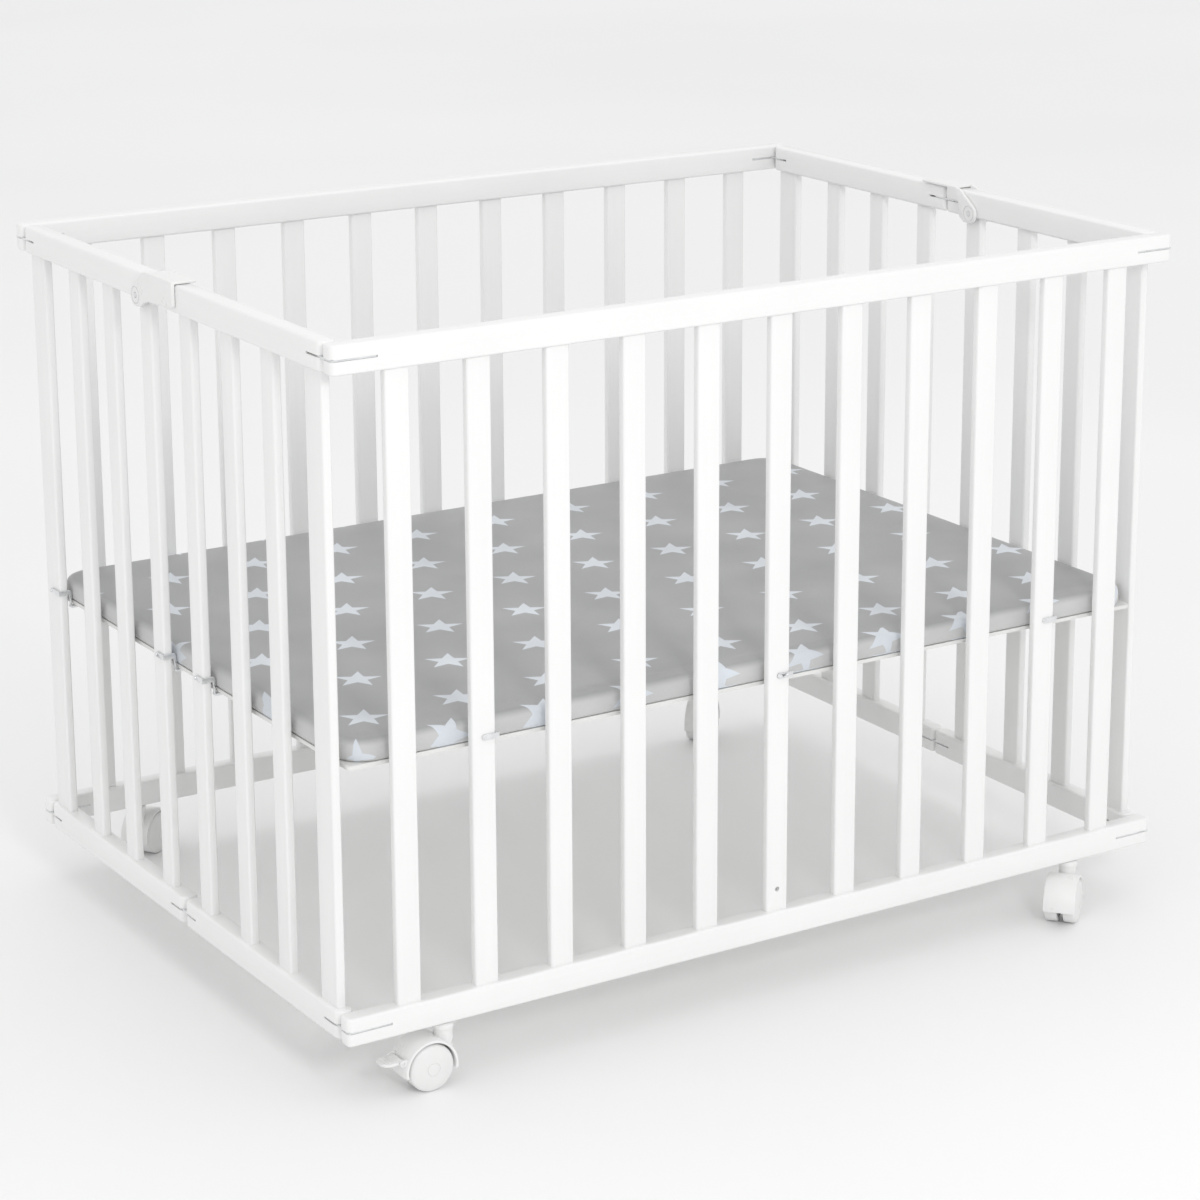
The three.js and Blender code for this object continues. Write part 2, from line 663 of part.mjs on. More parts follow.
/** One half of the padded mat. */
function mattress(name, toward) {
  const z0 = PAD_Z + GAP;
  const side = PAD_HALF_Y * toward;
  const profile = [
    [toward * GAP, z0],
    [side, z0],
    ...arc([PAD_HALF_Y - PAD_EDGE_RADIUS, PAD_TOP - PAD_EDGE_RADIUS], PAD_EDGE_RADIUS, 0, Math.PI / 2, 5)
      .map(([y, z]) => [toward * y, z]),
    [toward * GAP, PAD_TOP],
  ];
  const plan = roundedRectangle(
    -PAD_HALF_X,
    PAD_HALF_X,
    GAP,
    PAD_HALF_Y,
    [0, 0, PAD_CORNER_RADIUS, PAD_CORNER_RADIUS],
    5,
  ).map(([x, y]) => [x, toward * y]);
  const body = prismX(profile, -PAD_HALF_X, PAD_HALF_X).intersect(prismZ(plan, z0, PAD_TOP));
  const reach = HOOK_Z + HOOK_ARM_DEPTH / 2 - FLOOR_AXIS_Z + 1;
  return meshOf(name, cut(body, plateSlits(toward, reach, z0 - 1, PAD_TOP + 1)), cloth);
}

/** A pin in the floor's fold, centred at x. */
function foldPin(name, x) {
  const reach = 1.5 * KNUCKLE_WIDTH - 0.5;
  const pin = rod([x - reach, 0, FLOOR_AXIS_Z], [x + reach, 0, FLOOR_AXIS_Z], FLOOR_PIN_RADIUS);
  return meshOf(name, pin, zinc);
}

/** A twin-wheel castor: its swivel axis is the group's Z axis, and it trails along the group's +X. */
function castor(name, braked) {
  const axle = [CASTOR_TRAIL, WHEEL_RADIUS];
  const inner = HOOD_RADIUS - HOOD_THICKNESS;
  const foot = HOOD_FOOT_ANGLE;
  const halfHood = HOOD_WIDTH / 2;
  const ring = prismY(
    [
      ...arc(axle, HOOD_RADIUS, -foot, Math.PI + foot, 14),
      ...arc(axle, inner, Math.PI + foot, -foot, 14),
    ],
    -halfHood,
    halfHood,
  );
  const web = prismY(
    [
      ...arc(axle, inner + 1, 0, Math.PI, 10),
      ...arc(axle, AXLE_RADIUS + 5, Math.PI, 2 * Math.PI, 5),
    ],
    -CASTOR_WEB / 2,
    CASTOR_WEB / 2,
  );
  const core = rod([axle[0], -halfHood - 1, axle[1]], [axle[0], halfHood + 1, axle[1]], inner + 1, 20);
  const boss = cut(rod([0, 0, WHEEL_RADIUS + 10], [0, 0, BOTTOM - 0.5], BOSS_RADIUS, 16), [core]);
  const stem = rod([0, 0, BOTTOM - 2], [0, 0, BOTTOM + STEM_LENGTH], STEM_RADIUS);
  const axleReach = WHEEL_OUTER - 3;
  const pin = rod([axle[0], -axleReach, axle[1]], [axle[0], axleReach, axle[1]], AXLE_RADIUS);
  const pivotRadius = HOOD_RADIUS + BARREL_RADIUS + 0.6;
  const pivot = [
    axle[0] + pivotRadius * Math.cos(PEDAL_ANGLE),
    axle[1] + pivotRadius * Math.sin(PEDAL_ANGLE),
  ];
  const barrelHalf = PEDAL_WIDTH / 2;
  const ears = braked ? [-1, 1].map((sign) => {
    const near = barrelHalf + GAP;
    const span = [sign * near, sign * (near + EAR_WIDTH)].sort((a, b) => a - b);
    const ear = prismY(
      [
        [pivot[0] - 5, pivot[1] + 3.5],
        [pivot[0], pivot[1] + 3.5],
        ...arc(pivot, 3.5, Math.PI / 2, -Math.PI / 2, 8).slice(1),
        [pivot[0] - 4.5, pivot[1] - 3.5],
      ],
      ...span,
    );
    const bore = rod(
      [pivot[0], span[0] - 1, pivot[1]],
      [pivot[0], span[1] + 1, pivot[1]],
      FLOOR_PIN_RADIUS + BORE_PLAY,
    );
    return cut(ear, [bore]);
  }) : [];
  const hood = join([ring, web, boss, stem, pin, ...ears]);

  const meshes = [meshOf(`castor_hood_${name}`, hood, plastic)];
  for (const [side, sign] of [['left', 1], ['right', -1]]) {
    const start = CASTOR_WEB / 2 + GAP;
    const bore = AXLE_RADIUS + BORE_PLAY;
    const profile = [
      [bore, start],
      [WHEEL_RADIUS - 1.5, start],
      [WHEEL_RADIUS, start + 1.5],
      [WHEEL_RADIUS, start + WHEEL_WIDTH - WHEEL_DOME - 3],
      [WHEEL_RADIUS - 2, start + WHEEL_WIDTH - WHEEL_DOME - 0.5],
      [WHEEL_RADIUS - 10, start + WHEEL_WIDTH - 0.6],
      [bore, start + WHEEL_WIDTH],
      [bore, start],
    ].map(([r, v]) => new THREE.Vector2(r, v));
    const wheel = solid(new THREE.LatheGeometry(profile, 20));
    const mesh = meshOf(`castor_wheel_${name}_${side}`, wheel, wheelPlastic);
    mesh.position.set(axle[0], 0, axle[1]);
    mesh.rotation.z = sign > 0 ? 0 : Math.PI;
    meshes.push(mesh);
  }

  if (braked) {
    const lever = join([
      rod([pivot[0], -barrelHalf, pivot[1]], [pivot[0], barrelHalf, pivot[1]], BARREL_RADIUS),
      rod(
        [pivot[0], -barrelHalf - EAR_WIDTH, pivot[1]],
        [pivot[0], barrelHalf + EAR_WIDTH, pivot[1]],
        FLOOR_PIN_RADIUS,
      ),
      prismZ(
        roundedRectangle(pivot[0], pivot[0] + PEDAL_LENGTH, -barrelHalf, barrelHalf, [0, 7, 7, 0], 4),
        pivot[1] - PEDAL_THICKNESS / 2,
        pivot[1] + PEDAL_THICKNESS / 2,
      ),
    ]);
    meshes.push(meshOf(`brake_lever_${name}`, lever, plastic));
  }
  return meshes;
}

const playpen = new THREE.Group();

// The object is the same when turned half round, apart from the castors' directions.
const turned = new THREE.Group();
turned.rotation.z = Math.PI;
playpen.add(turned);

const [rearHookY, , , midHookY] = sideSlatCentres();
const layout = [
  { group: playpen, panel: 'front', ends: ['left', 'right'], side: 'left', near: 'rear', far: 'front' },
  { group: turned, panel: 'back', ends: ['right', 'left'], side: 'right', near: 'front', far: 'rear' },
];
for (const { group, panel, ends, side, near, far } of layout) {
  group.add(
    ...longPanel(panel),
    ...cornerPlates(panel, ends),
    ...sideHalf(`${side}_${near}`, 1, true),
    ...sideHalf(`${side}_${far}`, -1, false),
    linkPlate(`link_plate_${side}_top`, SLOT_LEVELS.top),
    linkPlate(`link_plate_${side}_bottom`, SLOT_LEVELS.bottom),
    sideHook(`hook_${side}_1`, rearHookY, CORNER_SLAT_WIDTH),
    sideHook(`hook_${side}_2`, midHookY, SLAT_WIDTH),
    sideHook(`hook_${side}_3`, -midHookY, SLAT_WIDTH),
    latchCap(`latch_cap_${side}`),
    latchBolt(`latch_bolt_${side}`),
  );
}

playpen.add(
  floorBoard('floor_board_rear', 1),
  floorBoard('floor_board_front', -1),
  mattress('mattress_rear', 1),
  mattress('mattress_front', -1),
  foldPin('floor_hinge_pin_left', -FOLD_HINGE_X),
  foldPin('floor_hinge_pin_right', FOLD_HINGE_X),
);

const castors = [
  { name: 'front_left', x: -CASTOR_X, y: -PANEL_Y, degrees: 180, braked: true },
  { name: 'front_right', x: CASTOR_X, y: -PANEL_Y, degrees: 220, braked: false },
  { name: 'rear_right', x: CASTOR_X, y: PANEL_Y, degrees: 225, braked: false },
  { name: 'rear_left', x: -CASTOR_X, y: PANEL_Y, degrees: 33.8, braked: true },
];
for (const { name, x, y, degrees, braked } of castors) {
  const group = new THREE.Group();
  group.position.set(x, y, 0);
  group.rotation.z = THREE.MathUtils.degToRad(degrees);
  group.add(...castor(name, braked));
  playpen.add(group);
}

export default playpen;
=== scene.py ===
import math

import bmesh
import bpy
from mathutils import Matrix, Vector, noise


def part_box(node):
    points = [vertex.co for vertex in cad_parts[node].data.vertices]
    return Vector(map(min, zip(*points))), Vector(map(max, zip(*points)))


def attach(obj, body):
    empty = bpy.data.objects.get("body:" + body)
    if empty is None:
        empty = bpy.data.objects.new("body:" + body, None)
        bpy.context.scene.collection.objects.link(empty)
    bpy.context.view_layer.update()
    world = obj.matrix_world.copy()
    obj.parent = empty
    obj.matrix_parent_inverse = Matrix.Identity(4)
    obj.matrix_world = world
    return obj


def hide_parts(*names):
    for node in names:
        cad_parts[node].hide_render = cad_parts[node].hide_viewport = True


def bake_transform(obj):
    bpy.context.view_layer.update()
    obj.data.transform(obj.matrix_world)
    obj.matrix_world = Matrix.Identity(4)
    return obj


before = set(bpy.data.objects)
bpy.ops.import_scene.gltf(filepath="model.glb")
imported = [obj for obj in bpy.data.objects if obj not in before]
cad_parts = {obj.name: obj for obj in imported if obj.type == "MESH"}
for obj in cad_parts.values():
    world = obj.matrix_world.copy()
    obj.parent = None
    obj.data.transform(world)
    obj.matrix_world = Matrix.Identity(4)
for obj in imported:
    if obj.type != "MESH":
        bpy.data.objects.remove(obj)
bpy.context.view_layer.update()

bl_info = {
    "name": "Folding Playpen",
    "version": (1, 0, 0),
    "blender": (4, 5, 0),
    "location": "3D View > Sidebar > Playpen",
    "description": "Builds the finished surfaces of a slatted playpen around its frame",
    "category": "Object",
}

MM = 0.001
SIDES = ("left", "right")
HALVES = ("rear", "front")
SMOOTH_ANGLE = math.radians(40)
LEVEL_TOLERANCE = 1e-6
FINISHES = {}


def corners_of(node):
    """Lowest and highest corner of a CAD node, in millimetres."""
    low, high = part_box(node)
    return low / MM, high / MM


# ---------------------------------------------------------------- settings


class PlaypenSizes(bpy.types.PropertyGroup):
    """Sizes of the finished surfaces, in metres."""

    rail_edge: bpy.props.FloatProperty(
        name="Rail edge", description="Radius of the rails' eased edges", default=0.0028, unit="LENGTH")
    slat_edge: bpy.props.FloatProperty(
        name="Slat edge", description="Radius of the slats' eased edges", default=0.0024, unit="LENGTH")
    pad_edge: bpy.props.FloatProperty(
        name="Mat edge", description="Radius of the mat's upper edge", default=0.0075, unit="LENGTH")
    pad_corner: bpy.props.FloatProperty(
        name="Mat corner", description="Radius of the mat's corners seen from above", default=0.034,
        unit="LENGTH")
    pad_crown: bpy.props.FloatProperty(
        name="Mat crown", description="Rise of the mat between its edges", default=0.0022, unit="LENGTH")
    star_pitch: bpy.props.FloatProperty(
        name="Star pitch", description="Distance between stars in a row", default=0.1086, unit="LENGTH")
    star_rows: bpy.props.FloatProperty(
        name="Star rows", description="Distance between rows of stars", default=0.110, unit="LENGTH")
    star_radius: bpy.props.FloatProperty(
        name="Star radius", description="Centre to tip of a star", default=0.0265, unit="LENGTH")


class PlaypenColours(bpy.types.PropertyGroup):
    """Colours of the finishes."""

    lacquer: bpy.props.FloatVectorProperty(
        name="Lacquer", description="White lacquer on the wood", subtype="COLOR", size=3,
        default=(0.88, 0.88, 0.878))
    board: bpy.props.FloatVectorProperty(
        name="Board", description="Coated floor board", subtype="COLOR", size=3, default=(0.78, 0.78, 0.765))
    cloth: bpy.props.FloatVectorProperty(
        name="Cloth", description="Ground of the mat's print", subtype="COLOR", size=3,
        default=(0.315, 0.315, 0.32))
    # Painted light: this lighter ground on the mat's side walls stands in for the light falling on the
    # walls, brighter than on the top.
    painted_lit_band: bpy.props.FloatVectorProperty(
        name="Band", description="Ground of the print on the mat's sides", subtype="COLOR", size=3,
        default=(0.56, 0.565, 0.56))
    star: bpy.props.FloatVectorProperty(
        name="Star", description="Stars of the mat's print", subtype="COLOR", size=3,
        default=(0.66, 0.70, 0.75))
    plastic: bpy.props.FloatVectorProperty(
        name="Plastic", description="Latches and castor hoods", subtype="COLOR", size=3,
        default=(0.84, 0.84, 0.835))
    wheel: bpy.props.FloatVectorProperty(
        name="Wheel", description="Castor wheels", subtype="COLOR", size=3, default=(0.80, 0.80, 0.795))
    zinc: bpy.props.FloatVectorProperty(
        name="Zinc", description="Zinc plated steel", subtype="COLOR", size=3, default=(0.82, 0.83, 0.84))


# ---------------------------------------------------------------- shader nodes


class Graph:
    """Short ways to add and link nodes in one node tree."""

    def __init__(self, tree):
        self.tree = tree

    def add(self, kind, inputs=None, **settings):
        made = self.tree.nodes.new(kind)
        for key, value in settings.items():
            setattr(made, key, value)
        for key, value in (inputs or {}).items():
            self.feed(made.inputs[key], value)
        return made

    def feed(self, socket, value):
        if isinstance(value, bpy.types.NodeSocket):
            self.tree.links.new(value, socket)
        elif hasattr(socket.default_value, "__len__") and len(socket.default_value) == 4:
            socket.default_value = (*value, 1.0) if len(value) == 3 else value
        else:
            socket.default_value = value

    def math(self, operation, a, b=0.0):
        return self.add("ShaderNodeMath", {0: a, 1: b}, operation=operation).outputs[0]

    def vector(self, operation, a, b=(0, 0, 0)):
        return self.add("ShaderNodeVectorMath", {0: a, 1: b}, operation=operation).outputs[0]

    def split(self, vector):
        return self.add("ShaderNodeSeparateXYZ", {0: vector}).outputs

    def merge(self, x, y, z=0.0):
        return self.add("ShaderNodeCombineXYZ", {0: x, 1: y, 2: z}).outputs[0]

    def noise(self, vector, scale, detail=3.0, rough=0.5):
        inputs = {"Vector": vector, "Scale": scale, "Detail": detail, "Roughness": rough}
        return self.add("ShaderNodeTexNoise", inputs).outputs["Fac"]

    def remap(self, value, low, high, to_low, to_high):
        inputs = {0: value, 1: low, 2: high, 3: to_low, 4: to_high}
        return self.add("ShaderNodeMapRange", inputs).outputs[0]

    def mix(self, factor, a, b):
        made = self.add("ShaderNodeMix", data_type="RGBA")
        for index, value in ((0, factor), (6, a), (7, b)):
            self.feed(made.inputs[index], value)
        return made.outputs[2]


def shader_group(name, inputs, outputs):
    """An empty shader node group with named sockets, and its graph, inputs and outputs."""
    tree = bpy.data.node_groups.new(name, "ShaderNodeTree")
    for label, kind, value in inputs:
        socket = tree.interface.new_socket(label, in_out="INPUT", socket_type=kind)
        if value is not None:
            socket.default_value = value
    for label, kind in outputs:
        tree.interface.new_socket(label, in_out="OUTPUT", socket_type=kind)
    graph = Graph(tree)
    return tree, graph, graph.add("NodeGroupInput").outputs, graph.add("NodeGroupOutput").inputs


VECTOR, FLOAT, COLOUR = "NodeSocketVector", "NodeSocketFloat", "NodeSocketColor"

# Turn of the print's rows and of a star's first tip, in degrees; bump depths, in metres.
PRINT_TURN = 1.1
STAR_TIP = 62.0
STAR_NOTCH = 0.41
SURFACE_BUMP = 0.0002
CLOTH_BUMP = 0.00025


def build_lacquer_group():
    """Sprayed lacquer over wood: faint grain along the piece, fine orange peel and uneven gloss."""
    tree, g, given, out = shader_group(
        "lacquered_wood",
        [("Point", VECTOR, None), ("Squeeze", VECTOR, (1, 1, 1)), ("Colour", COLOUR, (1, 1, 1, 1))],
        [("Colour", COLOUR), ("Roughness", FLOAT), ("Height", FLOAT)])
    along = g.vector("MULTIPLY", given["Point"], given["Squeeze"])
    grain = g.noise(along, 260.0, 4.0, 0.6)
    peel = g.noise(given["Point"], 420.0, 2.0, 0.5)
    cloudy = g.noise(given["Point"], 9.0, 3.0, 0.5)
    shade = g.remap(g.math("ADD", g.math("MULTIPLY", grain, 0.35), g.math("MULTIPLY", cloudy, 0.65)),
                    0.3, 0.7, 0.965, 1.0)
    tone = g.vector("MULTIPLY", given["Colour"], g.merge(shade, shade, g.math("MULTIPLY", shade, 0.998)))
    g.feed(out["Colour"], tone)
    g.feed(out["Roughness"], g.remap(g.math("ADD", peel, cloudy), 0.7, 1.3, 0.30, 0.44))
    g.feed(out["Height"], g.math("ADD", g.math("MULTIPLY", grain, 0.55), g.math("MULTIPLY", peel, 0.45)))
    return tree


def build_moulded_group():
    """Moulded plastic: a fine spark texture, flow marks and handling haze."""
    tree, g, given, out = shader_group(
        "moulded_plastic",
        [("Point", VECTOR, None), ("Colour", COLOUR, (1, 1, 1, 1)), ("Base roughness", FLOAT, 0.35)],
        [("Colour", COLOUR), ("Roughness", FLOAT), ("Height", FLOAT)])
    spark = g.noise(given["Point"], 900.0, 2.0, 0.5)
    flow = g.noise(given["Point"], 35.0, 3.0, 0.55)
    shade = g.remap(flow, 0.3, 0.7, 0.97, 1.0)
    g.feed(out["Colour"], g.vector("MULTIPLY", given["Colour"], g.merge(shade, shade, shade)))
    haze = g.math("ADD", given["Base roughness"], g.remap(flow, 0.3, 0.7, -0.05, 0.08))
    g.feed(out["Roughness"], haze)
    g.feed(out["Height"], spark)
    return tree


def build_star_group():
    """A mask of five-pointed stars in staggered rows. Point is on the cloth laid flat, in metres."""
    tree, g, given, out = shader_group(
        "star_print",
        [("Point", VECTOR, None), ("Pitch", FLOAT, 0.1), ("Row pitch", FLOAT, 0.1), ("Radius", FLOAT, 0.02),
         ("Tip angle", FLOAT, 1.0)],
        [("Mask", FLOAT)])
    fifth = math.radians(72)
    wide, high = STAR_NOTCH * math.cos(fifth / 2), STAR_NOTCH * math.sin(fifth / 2)
    x, y, _ = g.split(given["Point"])
    v = g.math("DIVIDE", y, given["Row pitch"])
    row = g.math("ROUND", v)
    odd = g.math("FLOORED_MODULO", row, 2.0)
    u = g.math("SUBTRACT", g.math("DIVIDE", x, given["Pitch"]), g.math("MULTIPLY", odd, 0.5))
    du = g.math("SUBTRACT", u, g.math("ROUND", u))
    dv = g.math("SUBTRACT", v, row)
    sx = g.math("DIVIDE", g.math("MULTIPLY", du, given["Pitch"]), given["Radius"])
    sy = g.math("DIVIDE", g.math("MULTIPLY", dv, given["Row pitch"]), given["Radius"])
    reach = g.math("SQRT", g.math("ADD", g.math("MULTIPLY", sx, sx), g.math("MULTIPLY", sy, sy)))
    angle = g.math("SUBTRACT", g.math("ARCTAN2", sy, sx), given["Tip angle"])
    turn = g.math("DIVIDE", angle, fifth)
    fold = g.math("MULTIPLY", g.math("ABSOLUTE", g.math("SUBTRACT", turn, g.math("ROUND", turn))), fifth)
    px = g.math("MULTIPLY", reach, g.math("COSINE", fold))
    py = g.math("MULTIPLY", reach, g.math("SINE", fold))
    edge = g.math("SUBTRACT", g.math("MULTIPLY", py, wide - 1.0),
                  g.math("MULTIPLY", g.math("SUBTRACT", px, 1.0), high))
    g.feed(out["Mask"], g.remap(edge, -0.006, 0.008, 0.0, 1.0))
    return tree


def build_weave_group():
    """A fine plain weave: its height, and a small change of tone from thread to thread."""
    tree, g, given, out = shader_group(
        "plain_weave",
        [("Point", VECTOR, None), ("Threads per metre", FLOAT, 2400.0)],
        [("Height", FLOAT), ("Tone", FLOAT)])
    x, y, z = g.split(given["Point"])
    rate = g.math("MULTIPLY", given["Threads per metre"], math.pi)
    warp = g.math("SINE", g.math("MULTIPLY", x, rate))
    weft = g.math("SINE", g.math("MULTIPLY", g.math("ADD", y, z), rate))
    over = g.math("MULTIPLY", warp, weft)
    slub = g.noise(g.vector("MULTIPLY", given["Point"], (1.0, 14.0, 14.0)), 180.0, 3.0, 0.6)
    g.feed(out["Height"], g.math("ADD", g.math("MULTIPLY", over, 0.35), g.math("MULTIPLY", slub, 0.65)))
    g.feed(out["Tone"], g.remap(slub, 0.3, 0.7, 0.955, 1.03))
    return tree


def build_plating_group():
    """Zinc plating: fine rolling lines, mottled brightness and dull patches."""
    tree, g, given, out = shader_group(
        "zinc_plating",
        [("Point", VECTOR, None), ("Colour", COLOUR, (1, 1, 1, 1))],
        [("Colour", COLOUR), ("Roughness", FLOAT), ("Height", FLOAT)])
    lines = g.noise(g.vector("MULTIPLY", given["Point"], (1.0, 1.0, 9.0)), 900.0, 3.0, 0.6)
    patch = g.noise(given["Point"], 90.0, 4.0, 0.6)
    shade = g.remap(patch, 0.3, 0.7, 0.86, 1.05)
    g.feed(out["Colour"], g.vector("MULTIPLY", given["Colour"], g.merge(shade, shade, shade)))
    g.feed(out["Roughness"], g.remap(patch, 0.3, 0.7, 0.22, 0.40))
    g.feed(out["Height"], lines)
    return tree


def new_material(name):
    """A new finish: the graph of its material, its Principled shader and its object coordinates."""
    made = bpy.data.materials.new(name)
    made.use_nodes = True
    graph = Graph(made.node_tree)
    shader = made.node_tree.nodes["Principled BSDF"]
    point = graph.add("ShaderNodeTexCoord").outputs["Object"]
    FINISHES[name] = made
    return graph, shader, point


def finish_with(graph, shader, group, inputs, strength):
    """Places a surface group and feeds the shader from it."""
    placed = graph.add("ShaderNodeGroup", node_tree=group)
    for key, value in inputs.items():
        graph.feed(placed.inputs[key], value)
    graph.feed(shader.inputs["Base Color"], placed.outputs["Colour"])
    graph.feed(shader.inputs["Roughness"], placed.outputs["Roughness"])
    bump = graph.add("ShaderNodeBump", {
        "Strength": strength, "Distance": SURFACE_BUMP, "Height": placed.outputs["Height"]})
    graph.feed(shader.inputs["Normal"], bump.outputs["Normal"])


def build_finishes(colours, sizes):
    """All the finishes, from the shared groups."""
    lacquer, moulded = build_lacquer_group(), build_moulded_group()
    plating, stars, weave = build_plating_group(), build_star_group(), build_weave_group()
    for axis, squeeze in (("x", (0.03, 1, 1)), ("y", (1, 0.03, 1)), ("z", (1, 1, 0.03))):
        g, shader, point = new_material(f"white_lacquer_{axis}")
        finish_with(g, shader, lacquer,
                    {"Point": point, "Squeeze": squeeze, "Colour": tuple(colours.lacquer)}, 0.22)
        shader.inputs["Coat Weight"].default_value = 0.25
        shader.inputs["Coat Roughness"].default_value = 0.18
    g, shader, point = new_material("coated_board")
    finish_with(g, shader, lacquer,
                {"Point": point, "Squeeze": (0.2, 1, 1), "Colour": tuple(colours.board)}, 0.35)
    for name, colour, rough in (("latch_plastic", colours.plastic, 0.30),
                                ("wheel_plastic", colours.wheel, 0.38)):
        g, shader, point = new_material(name)
        finish_with(g, shader, moulded,
                    {"Point": point, "Colour": tuple(colour), "Base roughness": rough}, 0.12)
    g, shader, point = new_material("zinc_plate")
    finish_with(g, shader, plating, {"Point": point, "Colour": tuple(colours.zinc)}, 0.15)
    shader.inputs["Metallic"].default_value = 1.0
    build_cloth(colours, sizes, stars, weave)


def build_cloth(colours, sizes, stars, weave):
    """Printed cotton: staggered stars that run on over the mat's edges, on a fine weave. Painted light and
    shade: a lighter ground on the side walls, and large random light and dark blotches.
    """
    g, shader, _ = new_material("star_cotton")
    flat = g.add("ShaderNodeAttribute", attribute_name="cloth_flat",
                 attribute_type="GEOMETRY").outputs["Vector"]
    turned = g.add("ShaderNodeVectorRotate", {"Vector": flat, "Angle": math.radians(-PRINT_TURN)},
                   rotation_type="Z_AXIS").outputs[0]
    printed = g.add("ShaderNodeGroup", node_tree=stars)
    for key, value in (("Point", turned), ("Pitch", sizes.star_pitch), ("Row pitch", sizes.star_rows),
                       ("Radius", sizes.star_radius), ("Tip angle", math.radians(STAR_TIP - PRINT_TURN))):
        g.feed(printed.inputs[key], value)
    woven = g.add("ShaderNodeGroup", node_tree=weave)
    g.feed(woven.inputs["Point"], flat)
    tone = woven.outputs["Tone"]
    # Painted shade and light: large random blotches, lighter and darker, stand in for the soft shading
    # across the mat.
    painted_shading = g.remap(g.noise(flat, 7.0, 3.0, 0.5), 0.3, 0.7, 0.86, 1.08)
    # Painted light: the side walls and the rounded upper edge get the lighter ground, standing in for the
    # light that falls on them.
    side = g.add("ShaderNodeAttribute", attribute_name="painted_lit_side",
                 attribute_type="GEOMETRY").outputs["Fac"]
    ground_and_painted_light = g.mix(side, tuple(colours.cloth), tuple(colours.painted_lit_band))
    colour = g.mix(printed.outputs["Mask"], ground_and_painted_light, tuple(colours.star))
    # The weave's own tone times the painted shade blotches.
    level = g.math("MULTIPLY", tone, painted_shading)
    g.feed(shader.inputs["Base Color"], g.vector("MULTIPLY", colour, g.merge(level, level, level)))
    g.feed(shader.inputs["Roughness"], g.mix(printed.outputs["Mask"], (0.50,) * 3, (0.60,) * 3))
    bump = g.add("ShaderNodeBump", {
        "Strength": 0.35, "Distance": CLOTH_BUMP, "Height": woven.outputs["Height"]})
    g.feed(shader.inputs["Normal"], bump.outputs["Normal"])
    shader.inputs["Sheen Weight"].default_value = 0.35
    shader.inputs["Sheen Roughness"].default_value = 0.45


# ---------------------------------------------------------------- mesh work


def object_from(bm, name, finish):
    """A shown object from a bmesh in millimetres, scaled to metres, with its finish."""
    bmesh.ops.recalc_face_normals(bm, faces=bm.faces)
    mesh = bpy.data.meshes.new(name)
    bm.to_mesh(mesh)
    bm.free()
    mesh.transform(Matrix.Scale(MM, 4))
    made = bpy.data.objects.new(name, mesh)
    bpy.context.scene.collection.objects.link(made)
    made.data.materials.append(FINISHES[finish])
    return made


def crease(obj, angle=SMOOTH_ANGLE):
    """Smooth shading, apart from edges sharper than the angle."""
    obj.data.polygons.foreach_set("use_smooth", [True] * len(obj.data.polygons))
    obj.data.set_sharp_from_angle(angle=angle)
    return obj


def combine(base, tools, operation):
    """The base with each tool cut out of it or joined to it. The tools are used up."""
    for tool in tools:
        changed = base.modifiers.new("work", "BOOLEAN")
        changed.object = tool
        changed.operation = operation
        changed.solver = "EXACT"
        graph = bpy.context.evaluated_depsgraph_get()
        mesh = bpy.data.meshes.new_from_object(base.evaluated_get(graph))
        base.modifiers.clear()
        base.data = mesh
        bpy.data.objects.remove(tool)
    return base


def arc(centre, radius, start, stop, steps):
    """Points on an arc, in degrees, both ends included."""
    angles = [math.radians(start + (stop - start) * i / steps) for i in range(steps + 1)]
    return [(centre[0] + radius * math.cos(a), centre[1] + radius * math.sin(a)) for a in angles]


PLANES = {
    "z": lambda a, b, c: (a, b, c),
    "x": lambda a, b, c: (c, a, b),
    "y": lambda a, b, c: (a, c, b),
}


def prism(outline, axis, low, high, finish, edge=0.0, steps=3, name="shape", place=None):
    """An outline extruded along an axis, with the edges round both ends eased."""
    bm = bmesh.new()
    point = PLANES[axis]
    base = bm.faces.new([bm.verts.new(point(a, b, low)) for a, b in outline])
    grown = bmesh.ops.extrude_face_region(bm, geom=[base])
    moved = [v for v in grown["geom"] if isinstance(v, bmesh.types.BMVert)]
    bmesh.ops.translate(bm, verts=moved, vec=Vector(point(0, 0, high - low)))
    if edge > 0:
        index = "xyz".index(axis)
        rims = [e for e in bm.edges
                if abs(e.verts[0].co[index] - e.verts[1].co[index]) < LEVEL_TOLERANCE]
        bmesh.ops.bevel(bm, geom=rims, offset=edge, segments=steps, profile=0.5, affect="EDGES",
                        clamp_overlap=True)
    if place is not None:
        bm.transform(place)
    return object_from(bm, name, finish)


def bar(low, high, finish, edge, name="shape", steps=4):
    """A straight bar with all its edges eased."""
    bm = bmesh.new()
    bmesh.ops.create_cube(bm, size=1.0)
    size, middle = Vector(high) - Vector(low), (Vector(high) + Vector(low)) / 2
    bmesh.ops.scale(bm, vec=size, verts=bm.verts)
    bmesh.ops.translate(bm, vec=middle, verts=bm.verts)
    bmesh.ops.bevel(bm, geom=bm.edges[:], offset=edge, segments=steps, profile=0.5, affect="EDGES")
    return object_from(bm, name, finish)


